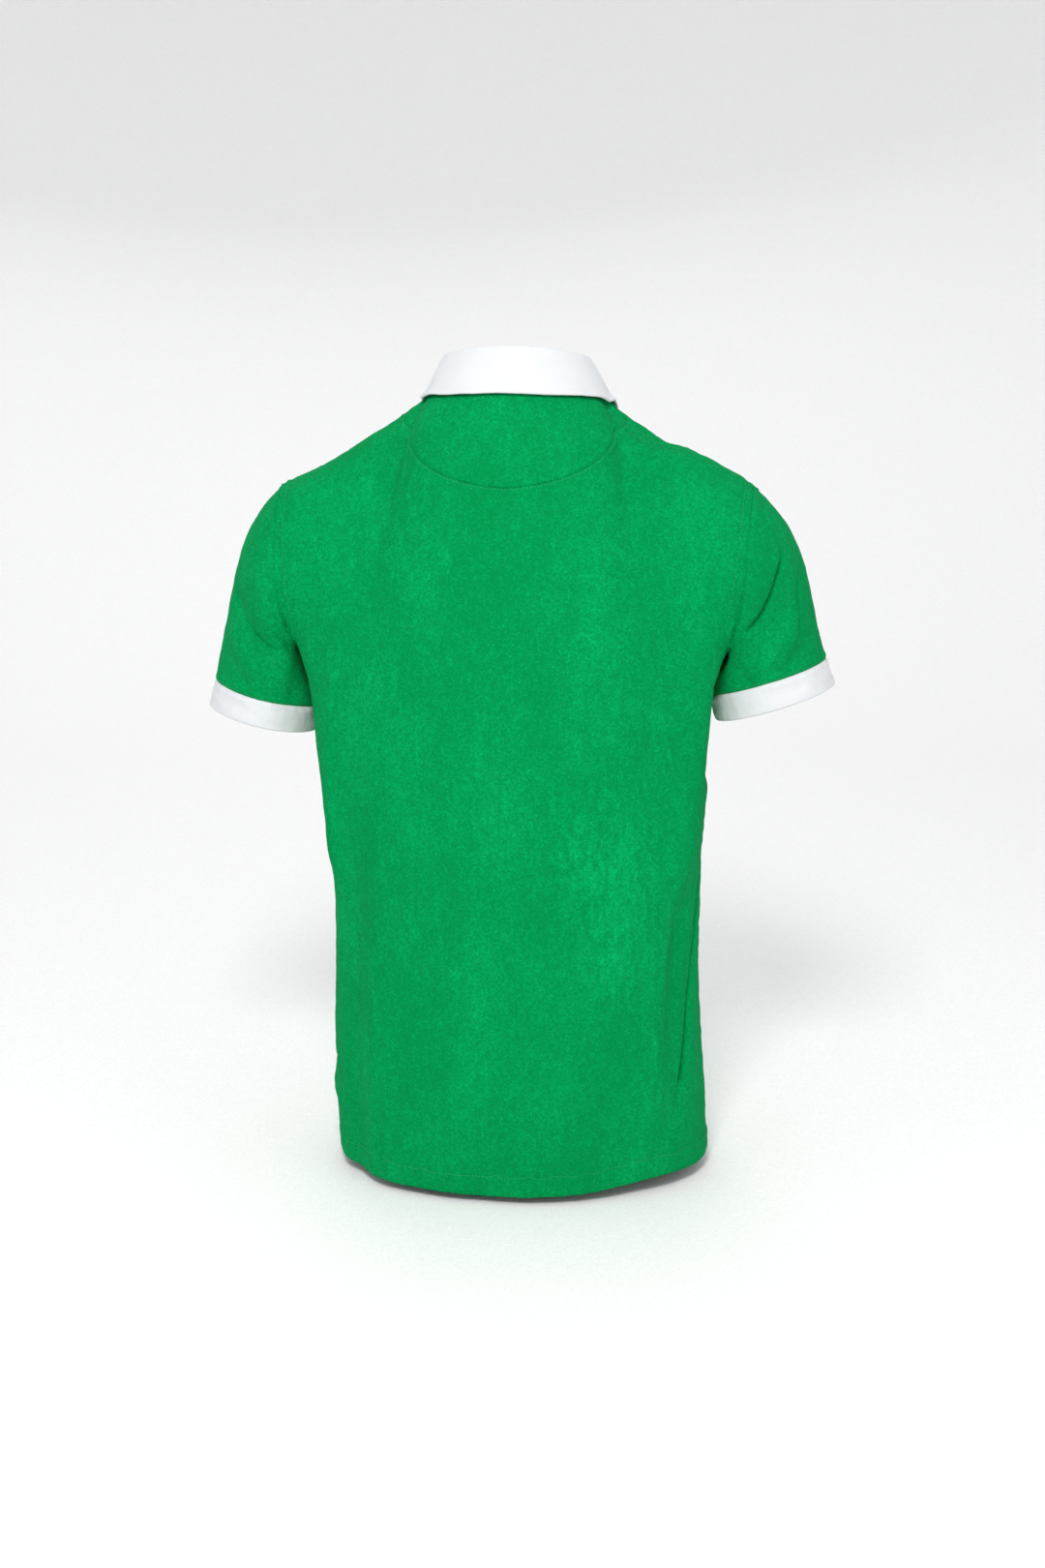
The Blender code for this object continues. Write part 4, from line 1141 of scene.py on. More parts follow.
@dataclass
class Garment:
    """The towelling panels and the two cuffs, cut on one body and sewn along shared points."""

    cut: BodyCut = field(default_factory=BodyCut)
    arms: tuple[ArmCut, ...] = ARMS
    hem_depth: float = 0.019
    turned_up: float = 0.85       # how much thicker the turned-up hem is than the cloth
    hem_round: float = 0.0016     # how far the hem's round edge stands out
    hollow: float = 0.0008        # uneven height of the hanging cloth, at three sizes
    dimple: float = 0.00035
    pile: float = 0.00012
    brushed_at: tuple[float, float] = (-0.088, -0.420)    # X and Z of the brushed patch's middle
    brushed_size: tuple[float, float] = (0.052, 0.095)

    def __post_init__(self) -> None:
        """Cuts the panels, lays the folds and creases, works the seams and draws them apart."""
        self.cloth = Cloth(self.cut_panels())
        cloth = self.cloth
        for table, reach in ((LARGE_FOLDS, LARGE_REACH), (CREASES, CREASE_REACH)):
            cloth.points = cloth.points + fold_moves(table, cloth.points, cloth.normals(),
                                                     cloth.into_sleeve, reach)
        fine = np.zeros(len(cloth.points))
        for height, size, seed in ((self.hollow, 0.085, 3), (self.dimple, 0.024, 5),
                                   (self.pile, 0.0062, 8)):
            fine += height * ripple(cloth.points, size, seed)
        self.from_hem = np.full(len(cloth.points), SEAM_REACH)
        self.lines = self.seams()
        for number, seam in enumerate(self.lines):
            distance, along = cloth.to_seam(seam)
            stitched = self.stitched_side(seam)
            fine += SEAM_LOOKS[seam.kind].height(distance, along, number, stitched)
            if seam.kind == "hem":
                self.from_hem = distance
        cloth.points = cloth.points + cloth.normals() * fine[:, None]
        self.normals = cloth.normals()
        self.shift = {name: np.zeros_like(cloth.points) for name in cloth.panels}
        for seam in self.lines:
            for panel, move in cloth.draw_back(self.normals, seam).items():
                self.shift[panel][seam.line] += move

    def stitched_side(self, seam: Seam) -> Array:
        """1 where a seam's topstitching runs: not on the sleeve, nor on the front at a shoulder."""
        side = np.ones(len(self.cloth.points))
        if seam.kind == "armhole":
            side[self.cloth.into_sleeve > 0.001] = 0.0
        if seam.kind == "shoulder":
            side[self.cloth.points[:, 1] < 0.0] = 0.0
        return side

    def cut_panels(self) -> dict[str, Panel]:
        """Outer grids of every sewn panel, rows from the hem up and columns from -X to +X."""
        cut = self.cut
        high_rows = cut.rows_above()
        rows = np.concatenate([cut.rows_below(), high_rows])
        across = cut.back_stops()
        seam, half = cut.yoke_edge(across)
        back = cut.points(Face.BACK, across, rows[:, None] * np.where(rows[:, None] > 0, seam, 1.0))
        over = across[np.abs(across) < half + 1.0e-6]
        yoke_rows = packed(cut.yoke_steps, 0.35, 0.5)[:, None]
        yoke_v = mix(cut.yoke_edge(over)[0][None, :], 1.0, yoke_rows)
        yoke = cut.points(Face.BACK, over, yoke_v)
        front_u = cut.front_stops(rows)
        front = cut.points(Face.FRONT, front_u, rows[:, None])
        middle = front_u.shape[1] // 2
        slit = np.ones((len(rows) - 1, front_u.shape[1] - 1), dtype=bool)
        slit[cut.body_steps:, middle - 1:middle + 1] = False
        panels = {
            "back": Panel(back, turned=True),
            "back_yoke": Panel(yoke, turned=True),
            "front": Panel(front, keep=slit),
            "placket_under": Panel(front[cut.body_steps:, middle - 1:middle + 2]),
        }
        armhole_rows = np.concatenate([[0.0], high_rows])
        angle = math.pi * (1.0 - np.concatenate([armhole_rows, 2.0 - armhole_rows[-2:0:-1]]))
        for arm in self.arms:
            column = -1 if arm.side > 0 else 0
            rise = back[cut.body_steps:, column]
            fall = front[cut.body_steps + 1:-1, column][::-1]
            hole = np.concatenate([rise, fall])
            t = packed(arm.sleeve_steps, 0.45, 0.5)[:, None, None]
            end = np.linspace(0.0, 1.0, arm.cuff_steps + 1)[:, None, None]
            panels["sleeve_" + arm.word] = Panel(
                arm.sleeve_points(hole[None], angle[None], t), turned=arm.side < 0, closed=True,
                group="sleeve_" + arm.word, into_sleeve=t[:, :, 0])
            panels["cuff_" + arm.word] = Panel(
                arm.cuff_points(angle[None], end), turned=arm.side < 0, closed=True,
                group="cuff_" + arm.word, into_sleeve=np.ones((1, 1)))
        return panels

    def seams(self) -> list[Seam]:
        """Every sewn line, and the hem's edge."""
        back, front = self.cloth.index["back"], self.cloth.index["front"]
        yoke = self.cloth.index["back_yoke"]
        waist = self.cut.body_steps
        middle = front.shape[1] // 2
        shoulder = len(self.cut.shoulder_stops()) - 1
        found = []
        for column, neck_side in ((0, slice(0, shoulder + 1)), (-1, slice(-shoulder - 1, None))):
            found += [Seam("side", back[:waist + 1, column], ("back", "front")),
                      Seam("shoulder", front[-1, neck_side], ("back", "back_yoke", "front"))]
        found.append(Seam("half_moon", yoke[0], ("back", "back_yoke")))
        for line in (front[waist, middle - 1:middle + 2], front[waist:, middle - 1],
                     front[waist:, middle + 1]):
            found.append(Seam("slit", line, ("front", "placket_under")))
        for arm in self.arms:
            sleeve, cuff = "sleeve_" + arm.word, "cuff_" + arm.word
            found += [Seam("armhole", self.cloth.index[sleeve][0], ("back", "front", sleeve), True),
                      Seam("cuff", self.cloth.index[cuff][0], (sleeve, cuff), True)]
        round_neck = ("front", "placket_under", "back_yoke")
        return found + [Seam("neck", self.neck_seam(), round_neck, True),
                        Seam("hem", np.concatenate([back[0], front[0, -2:0:-1]]), (), True)]

    def neck_seam(self) -> Array:
        """Points round the neck, from the middle front over the left shoulder and back again."""
        front, yoke = self.cloth.index["front"][-1], self.cloth.index["back_yoke"][-1]
        steps, middle, centre = self.cut.neck_steps, len(front) // 2, len(yoke) // 2
        return np.concatenate([front[middle:middle + steps + 1],
                               yoke[centre - steps:centre + steps][::-1],
                               front[middle - steps + 1:middle]])

    def ground(self, names: tuple[str, ...]) -> Ground:
        """Outer faces of some panels."""
        faces = np.concatenate([self.cloth.faces[name] for name in names])
        return Ground(self.cloth.points, faces)

    def nap(self) -> Array:
        """How brushed the pile is: a patch at the right of the back, and faint ones all over."""
        x, y, z = self.cloth.points.T
        (middle_x, middle_z), (wide, high) = self.brushed_at, self.brushed_size
        patch = bell(x - middle_x, wide) * bell(z - middle_z, high) * smooth(y / 0.05)
        return np.clip(patch + 0.25 * ripple(self.cloth.points, 0.11, 21), -0.4, 1.0)

    def walls(self) -> dict[str, Wall]:
        """Wall of each panel: the hem is turned up inside, and its edge is round."""
        cloth, normals = self.cloth, self.normals
        doubled = smooth((self.hem_depth - self.from_hem) / 0.0015)
        thick = TERRY * (1.0 + self.turned_up * doubled)
        roll = -UP * (self.hem_round * bell(self.from_hem, 0.0005))[:, None]
        nap = self.nap()
        made = {}
        for name, panel in cloth.panels.items():
            outer = cloth.points + self.shift[name]
            place = np.zeros((len(outer), 2))
            place[cloth.index[name].reshape(-1)] = flat_place(panel.points)
            girth = 0.0
            if panel.closed:
                ring = panel.points[0]
                girth = float(np.linalg.norm(ring - np.roll(ring, 1, axis=0), axis=1).sum())
            made[name] = Wall(outer, outer - normals * thick[:, None], cloth.faces[name], place,
                              girth, roll, nap)
        return made


@dataclass
class Cuff:
    """A ribbed cuff: its panel's grid made finer round the arm, with the ribs raised on it."""

    garment: Garment
    arm: ArmCut
    ribs: int = 200
    fine: int = 4
    rib_height: float = 0.00018
    rows: int = 22
    edge: float = 0.0009          # how far the cuff's round edge stands out
    wave: float = 0.0004          # height of the slow waves round the cuff
    girth: float = 0.336          # length of the flat cut

    def build(self, finish: Material) -> Piece:
        """Makes the wall, whose outer points rise and fall with the ribs.

        A rib's height is a rounded wave of its place round the arm, and slow waves are added.
        """
        name = "cuff_" + self.arm.word
        cloth = self.garment.cloth
        index = cloth.index[name]
        outer = self.resample((cloth.points + self.garment.shift[name])[index])
        normals = unit(self.resample(self.garment.normals[index]))
        count = outer.shape[1]
        round_arm = np.arange(count) / count
        wave = 0.5 + 0.5 * np.cos(math.tau * self.ribs * round_arm)
        up = np.linspace(0.0, 1.0, outer.shape[0])[:, None]
        relief = self.rib_height * (wave[None, :] ** 0.7) * smooth(up / 0.06)
        relief = relief + self.wave * np.sin(3.0 * math.pi * up) * np.sin(
            math.tau * (4.0 * round_arm[None, :] + 0.15 * up))
        points = outer + normals * (relief - self.rib_height)[..., None]
        inner = outer - normals * TERRY
        inner += normals * (self.rib_height * 0.6 * (1.0 - wave))[None, :, None]
        place = np.stack(np.broadcast_arrays(round_arm[None, :] * self.girth,
                                             up * self.arm.cuff), axis=-1)
        roll = np.zeros_like(points)
        roll[-1] = self.arm.frame()[0] * self.edge
        wall = grid_wall(points, inner, place, roll, self.arm.side < 0, self.girth)
        return wall.build("ribbed_" + name, finish, "rib")

    def resample(self, grid: Array) -> Array:
        """Grid made finer by straight blends: round the arm to a whole number of ribs, and up."""
        rows, columns = grid.shape[:2]
        ring = np.concatenate([grid, grid[:, :1]], axis=1)
        stops = np.arange(self.ribs * self.fine) / (self.ribs * self.fine) * columns
        low = stops.astype(int)
        part = (stops - low)[None, :, None]
        round_arm = ring[:, low] * (1.0 - part) + ring[:, low + 1] * part
        levels = np.linspace(0.0, rows - 1.0, self.rows)
        under = np.minimum(levels.astype(int), rows - 2)
        share = (levels - under)[:, None, None]
        return round_arm[under] * (1.0 - share) + round_arm[under + 1] * share


# ---- the collar
def evened(row: Array, rounds: int = 3) -> Array:
    """A row of points with its kinks smoothed out, its two ends kept."""
    for _ in range(rounds):
        row = row.copy()
        row[1:-1] = (row[:-2] + 2.0 * row[1:-1] + row[2:]) / 4.0
    return row


def through(grid: Array, steps: int) -> Array:
    """Smooth curves through a grid's rows, with so many steps between two rows (Catmull-Rom)."""
    before = np.concatenate([2.0 * grid[:1] - grid[1:2], grid[:-1]])[:-1]
    start, end = grid[:-1], grid[1:]
    after = np.concatenate([grid[2:], 2.0 * grid[-1:] - grid[-2:-1]])
    parts = []
    for t in np.arange(steps) / steps:
        parts.append(0.5 * (2.0 * start + (end - before) * t
                            + (2.0 * before - 5.0 * start + 4.0 * end - after) * t**2
                            + (3.0 * start - before - 3.0 * end + after) * t**3))
    fine = np.stack(parts, axis=1).reshape(-1, *grid.shape[1:])
    return np.concatenate([fine, grid[-1:]])


@dataclass
class Collar:
    """Fold-over collar of flat knit: up from the neck seam, over, and down to the leaf's edge."""

    garment: Garment
    ground: Ground
    stand_back: float = 0.031
    stand_front: float = 0.024
    drop_back: float = 0.008      # leaf's edge below the neck seam, behind
    drop_front: float = 0.036     # leaf's points below the neck seam
    swing: float = 0.044          # leaf's points, out from the middle
    end_gap: float = 0.0016       # between the two ends at the front
    clear: float = 0.0032         # between the leaf and the cloth under it
    lean_back: float = 0.011      # stand's lean towards the neck, behind
    lean_front: float = 0.004
    flare_back: float = 0.009     # leaf's edge, out from the neck seam, behind
    flare_front: float = 0.022
    leaf_rows: tuple[float, ...] = (0.18, 0.45, 0.75, 1.0)
    fine_rows: int = 5
    fine_columns: int = 3
    edge_rib: float = 0.00035     # the knitted edge stands thicker than the leaf
    edge_round: float = 0.0008    # how far the leaf's round edge stands out
    end_round: float = 0.0005     # the same at its two ends

    def path(self, base: Array, away: Array) -> Array:
        """Middle of the knit: rows from the neck seam over the fold to the leaf's edge.

        Args:
            base: points of the neck seam from one front end to the other.
            away: direction at each point from the cloth to the collar.

        Returns:
            Grid of points, a row for each stop up the stand and down the leaf.
        """
        calm = evened(base, 30)
        ahead = unit(np.gradient(calm, axis=0))
        outward = unit(np.cross(ahead * [1, 1, 0], UP))
        place = running(step_lengths(base))
        place = place / place[-1] * 2.0 - 1.0
        back_to_side = np.abs(place)[:, None]
        from_front = ahead * np.where(place < 0, 1.0, -1.0)[:, None]
        to_front = smooth((back_to_side - 0.35) / 0.65)
        point = np.clip((back_to_side - 0.45) / 0.55, 0.0, 1.0) ** 1.7
        stand = mix(self.stand_back, self.stand_front, to_front)
        lean = mix(self.lean_back, self.lean_front, to_front)
        drop = mix(self.drop_back, self.drop_front, point)
        flare = mix(self.flare_back, self.flare_front, point)
        stops = ((-0.35 * lean, 0.45 * stand), (-lean, stand - 0.0030),
                 (-lean + 0.0010, stand - 0.0004), (-lean + 0.0030, stand + 0.0006),
                 (-lean + 0.0050, stand - 0.0008))
        rows = [base + away * SEAM_GAP / 2]
        rows += [calm + outward * radial + UP * height for radial, height in stops]
        least = RIB / 2 + self.clear
        for part in self.leaf_rows:
            radial = mix(-lean + 0.0062, flare, part) + 0.0035 * math.sin(part * math.pi)
            height = mix(stand - 0.0030, -drop, part)
            row = calm + outward * radial + UP * height + from_front * self.swing * point * part
            row = self.ground.settle(row, least, least + 0.0010 if part == 1.0 else None)
            rows.append(self.ground.settle(evened(row), least))
        return np.stack(rows)

    def build(self, finish: Material) -> Piece:
        """Makes one closed wall about the path, whose two ends meet at the front."""
        cloth, shift = self.garment.cloth, self.garment.shift
        seam = self.garment.neck_seam()
        seam = np.append(seam, seam[0])
        base = evened(cloth.points[seam], 1)
        out_of_cloth = self.garment.normals[seam]
        away = unit(-(shift["front"][seam] + shift["back_yoke"][seam]
                      + shift["placket_under"][seam]))
        base[0] += unit(base[1] - base[0]) * self.end_gap / 2
        base[-1] += unit(base[-2] - base[-1]) * self.end_gap / 2
        path = through(self.path(base, away), self.fine_rows)
        path = through(path.transpose(1, 0, 2), self.fine_columns).transpose(1, 0, 2)
        foot_out = unit(through(out_of_cloth, self.fine_columns))
        facing = unit(np.cross(unit(np.gradient(path, axis=1)), np.gradient(path, axis=0)))
        facing *= np.sign(np.sum(facing[0] * foot_out, axis=1))[None, :, None]
        down = running(step_lengths(path).mean(axis=1))
        from_edge = (down[-1] - down)[:, None]
        across = running(step_lengths(path[-1]))
        half = RIB / 2 + self.edge_rib * bell(from_edge - 0.0022, 0.0014)
        uneven = 0.0004 * ripple(path.reshape(-1, 3), 0.045, 31).reshape(path.shape[:2])
        uneven = (uneven * smooth(down / 0.012)[:, None])[..., None]
        pocket_side = path + facing * (half[..., None] + uneven)
        neck_side = path - facing * (half[..., None] - uneven)
        pocket_side[0] = path[0]
        neck_side[0] = path[0] - foot_out * TERRY
        roll = np.zeros_like(path)
        roll[-1] = unit(path[-1] - path[-2]) * self.edge_round
        roll[1:, 0] += unit(path[1:, 0] - path[1:, 1]) * self.end_round
        roll[1:, -1] += unit(path[1:, -1] - path[1:, -2]) * self.end_round
        wall = grid_wall(pocket_side, neck_side, np.stack(np.meshgrid(across, down), axis=-1), roll)
        LOG.info("collar cut %s", measure(wall))
        return wall.build("knit_collar", finish, "flat_knit")


# ---- the placket
@dataclass
class Placket:
    """Top placket over the slit, its topstitching and buttonholes, and the three buttons."""

    garment: Garment
    half: float = 0.0175
    tail: float = 0.012           # how far it runs on below the slit
    cloth: float = 0.0018
    stitch_in: float = 0.0024     # topstitching in from each edge
    rows: int = 150
    columns: int = 28
    button_heights: tuple[float, ...] = (-0.110, -0.165, -0.220)
    button_radius: float = 0.0056
    button_thick: float = 0.0026
    hole_half: float = 0.0072     # buttonhole, half its length
    hole_across: float = 0.00085  # and half its width
    cord: float = 0.00050         # radius of its worked edge
    dish: float = 0.0006          # depth of a button's hollow face
    pit_out: float = 0.0015       # a button's hole, out from its middle
    pit_deep: float = 0.0011
    pit_radius: float = 0.00045
    thread_out: float = 0.00106   # a button's threads, out from its middle
    thread_sunk: float = 0.00045  # and below the top of its rim
    groove: float = 0.0008        # width of the groove along a line of stitching
    groove_deep: float = 0.00045
    edge_round: float = 0.0013    # radius of the strip's edges

    def __post_init__(self) -> None:
        """Works out the strip's grid on the front's own surface, and each point's distance from
        the long edges (side) and from the foot."""
        cut = self.garment.cut
        start = -self.tail / (cut.armpit_z - cut.hem_side_z)
        self.v = np.linspace(start, 1.0 - 0.004, self.rows)
        edge = np.sin(np.linspace(-math.pi / 2, math.pi / 2, self.columns + 1))
        even = np.linspace(-1.0, 1.0, self.columns + 1)
        self.across = mix(even, edge, 0.45)
        stops = [self.frame_at(x) for x in self.across * self.half]
        self.points = np.stack([stop[0] for stop in stops], axis=1)
        self.normals = np.stack([stop[1] for stop in stops], axis=1)
        self.up = running(step_lengths(self.points[:, self.columns // 2]))
        from_edge = self.half * (1.0 - np.abs(self.across))
        self.side = np.broadcast_to(from_edge, self.points.shape[:2])
        self.foot = np.broadcast_to(self.up[:, None], self.points.shape[:2])

    def frame_at(self, x: float) -> tuple[Array, Array]:
        """Points of the front at the distance x from its middle, and their normals."""
        cut, v = self.garment.cut, self.v
        u = np.sign(x) * cut.middle_stop(v, abs(x))
        step = 0.004
        here = cut.points(Face.FRONT, u, v)
        beside = cut.points(Face.FRONT, u + 0.01, v) - cut.points(Face.FRONT, u - 0.01, v)
        above = (cut.points(Face.FRONT, u, np.minimum(v + step, 1.0))
                 - cut.points(Face.FRONT, u, np.maximum(v - step, -1.0)))
        return here, unit(np.cross(beside, above))

    def upper(self) -> Array:
        """Upper face: flat, rounded at its edges, with a groove along each line of stitching."""
        side, foot = self.side, self.foot
        edge = np.minimum(side, foot)
        height = self.cloth * (0.45 + 0.55 * quarter(
            1.0 - np.clip(edge / self.edge_round, 0.0, 1.0)))
        groove = np.max([bell(from_line, self.groove) * (inside > self.stitch_in)
                         for from_line, inside in ((side - self.stitch_in, foot),
                                                   (foot - self.stitch_in, side),
                                                   (foot - self.tail, side))], axis=0)
        pucker = np.sin(foot * math.tau / 0.0075 + 4.0 * side / self.half)
        height = height - self.groove_deep * groove
        height = height + 0.00014 * pucker * bell(side - self.stitch_in, 0.002)
        pile = ripple(self.points.reshape(-1, 3), 0.007, 41).reshape(side.shape)
        height = height + self.garment.pile * pile
        return self.points + self.normals * (LAY_GAP + height)[..., None]

    def build(self, finish: Material) -> Piece:
        """Makes the strip's wall, which lies on the front and the under placket."""
        lower = self.points + self.normals * LAY_GAP
        place = np.stack(np.broadcast_arrays(self.across * self.half, self.foot), axis=-1)
        return grid_wall(self.upper(), lower, place).build("top_placket", finish, "terry")

    def stitch_lines(self) -> list[Array]:
        """Lines of topstitching on the upper face: both sides, and a box across the foot."""
        upper = self.upper()
        x = self.half - self.stitch_in
        spots = np.interp([-x, x], self.across * self.half, np.arange(self.columns + 1.0))
        left, right = int(round(spots[0])), int(round(spots[1]))
        first = int(np.searchsorted(self.up, self.stitch_in))
        slit = int(np.searchsorted(self.up, self.tail))
        return [upper[first:, left], upper[first:, right], upper[first, left:right + 1],
                upper[slit, left:right + 1]]

    def button_frame(self, height: float) -> tuple[Array, Array]:
        """A place on the strip's middle at that height, and its three directions."""
        middle = self.columns // 2
        row = int(np.argmin(np.abs(self.points[:, middle, 2] - height)))
        out = self.normals[row, middle]
        rise = unit(self.points[row + 1, middle] - self.points[row - 1, middle])
        side = np.cross(rise, out)
        place = self.points[row, middle] + out * (LAY_GAP + self.cloth)
        return place, np.stack([side, np.cross(out, side), out])

    def button_grid(self) -> tuple[Array, Array]:
        """One button about its own axis: rings from the middle of its face over the rim and back.

        The face is dished inside a rounded rim, and four pits are sunk in it where radius and
        angle come near a hole.

        Returns:
            Points, and triangles over them.
        """
        half_thick = self.button_thick / 2
        turns = 96
        rim_from, rim = 0.86, 0.14
        angle = round_stops(turns)
        share = np.concatenate([np.linspace(0.04, rim_from, 30), 1.0 - rim * np.cos(
            np.linspace(0.25, 1.0, 8) * math.pi / 2)])
        below = np.linspace(0.97, 0.05, 14)
        face = half_thick - self.dish * (1.0 - smooth((share - 0.62) / 0.16))
        turned, under = (half_thick * quarter(np.clip(part - rim_from, 0.0, 1.0) / rim)
                         for part in (share, below))
        z = np.concatenate([np.where(share > rim_from, turned, face), -under])
        r = np.concatenate([share, below])[:, None] * self.button_radius
        x, y = r * np.cos(angle), r * np.sin(angle)
        points = np.stack([x, y, np.repeat(z[:, None], turns, axis=1)], axis=-1)
        top = points[:len(share)]
        for hole in range(4):
            centre = math.pi / 4 + hole * math.pi / 2
            away = np.hypot(top[..., 0] - self.pit_out * math.cos(centre),
                            top[..., 1] - self.pit_out * math.sin(centre))
            top[..., 2] -= self.pit_deep * (1.0 - smooth((away - self.pit_radius) / 0.00035))
        count = len(r) * turns
        faces = triangles(grid_faces(np.arange(count).reshape(-1, turns), True, True),
                          points.reshape(-1, 3))
        ends = np.array([[0.0, 0.0, face[0]], [0.0, 0.0, -half_thick]])
        caps = [fan(count, np.arange(turns)),
                fan(count + 1, np.arange(count - turns, count))[:, [0, 2, 1]]]
        return np.concatenate([points.reshape(-1, 3), ends]), np.concatenate([faces, *caps])

    def build_buttons(self, finish: Material, thread: Material) -> list[Piece]:
        """Makes each button, with its sewing thread as a piece that goes with it."""
        shape, faces = self.button_grid()
        made = []
        for number, height in enumerate(self.button_heights, start=1):
            place, frame = self.button_frame(height)
            middle = place + frame[2] * (LAY_GAP + self.button_thick / 2)
            button = add_mesh(f"four_hole_button_{number}", middle + shape @ frame, faces, finish)
            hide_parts(f"button_{number}")
            lines = []
            for row in (-1, 1):
                over = self.button_thick / 2 - self.thread_sunk
                ends = np.array([[-self.pit_out * 0.71, row * self.thread_out, over],
                                 [self.pit_out * 0.71, row * self.thread_out, over]])
                lines.append(middle + ends @ frame)
            sewing = stitches(f"button_thread_{number}", lines, Stitch(0.0032, 0.0040, 0.00045),
                              thread)
            made += [button, sewing]
        for piece in made:
            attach(piece, "root")
        return made

    def build_buttonholes(self, thread: Material) -> Piece:
        """Makes the worked edge of each buttonhole: a cord of thread on a long narrow loop.

        The loop is a circle drawn out along the strip, with its ends cut square, and the cord's
        radius swells with each turn of the thread.
        """
        steps, section = 240, 8
        turn, around = round_stops(steps), round_stops(section)
        stretch = np.clip(np.sin(turn) * 2.6, -1.0, 1.0)
        points, faces = [], []
        for height in self.button_heights:
            place, frame = self.button_frame(height)
            loop = [self.hole_across * np.cos(turn), self.hole_half * stretch,
                    np.full(steps, 0.0001)]
            line = place + np.stack(loop, axis=1) @ frame
            ahead = unit(np.roll(line, -1, axis=0) - np.roll(line, 1, axis=0))
            aside = np.cross(ahead, frame[2])
            radius = (self.cord + 0.00007 * np.cos(turn * 60.0))[:, None, None]
            ring = (np.cos(around)[None, :, None] * aside[:, None, :] * 1.15
                    + np.sin(around)[None, :, None] * frame[2][None, None, :] * 0.8)
            points.append((line[:, None, :] + ring * radius).reshape(-1, 3))
            index = np.arange(steps * section).reshape(steps, section)
            index = np.concatenate([index, index[:1]]) + len(faces) * steps * section
            faces.append(grid_faces(index, False, True))
        piece = add_mesh("buttonholes", np.concatenate(points), np.concatenate(faces), thread)
        outward(piece)
        return dressed(piece)


# ---- the sewing
class Stitch(NamedTuple):
    """Sizes of one kind of stitch: its length, the pitch between two, and its radius."""

    length: float = 0.0022
    pitch: float = 0.0031
    radius: float = 0.00032


def outward(piece: Piece) -> None:
    """Turns a closed mesh's faces outwards."""
    mesh = bmesh.new()
    mesh.from_mesh(piece.data)
    bmesh.ops.recalc_face_normals(mesh, faces=mesh.faces)
    mesh.to_mesh(piece.data)
    mesh.free()


def stitches(name: str, lines: list[Array], kind: Stitch, thread: Material) -> Piece:
    """Rows of stitches as one piece: a short closed tube every pitch along each line.

    Args:
        name: the piece's name.
        lines: points of each line, at the stitches' own height.
        kind: sizes of the stitches.
        thread: material.

    Returns:
        The new object.
    """
    middles, ways = [], []
    for line in lines:
        stops = along_line(line, kind.pitch)
        middles.append((stops[:-1] + stops[1:]) / 2)
        ways.append(unit(np.diff(stops, axis=0)))
    middle, way = np.concatenate(middles), np.concatenate(ways)
    up = np.where(np.abs(way[:, 2:]) > 0.8, BACKWARD, UP)
    aside = unit(np.cross(way, up))
    over = np.cross(aside, way)
    profile = np.array([(-0.44, 0.62), (-0.2, 1.0), (0.2, 1.0), (0.44, 0.62)])
    sides = 6
    around = round_stops(sides)
    ring = (np.cos(around)[:, None] * aside[:, None, None] + np.sin(around)[:, None]
            * over[:, None, None])
    body = (middle[:, None, None] + way[:, None, None] * profile[None, :, :1, None] * kind.length
            + ring * (profile[:, 1] * kind.radius)[None, :, None, None])
    ends = middle[:, None] + way[:, None] * np.array([-0.5, 0.5])[None, :, None] * kind.length
    points = np.concatenate([body.reshape(len(middle), -1, 3), ends], axis=1)
    each = points.shape[1]
    grid = np.arange(len(profile) * sides).reshape(-1, sides)
    skin = grid_faces(grid, False, True)
    tube = np.concatenate([skin[:, [0, 1, 2]], skin[:, [0, 2, 3]]])
    caps = [fan(grid.size, grid[0])[:, [0, 2, 1]], fan(grid.size + 1, grid[-1])]
    one = np.concatenate([tube, *caps])
    faces = (one[None] + (np.arange(len(middle)) * each)[:, None, None]).reshape(-1, 3)
    return add_mesh(name, points.reshape(-1, 3), faces, thread)


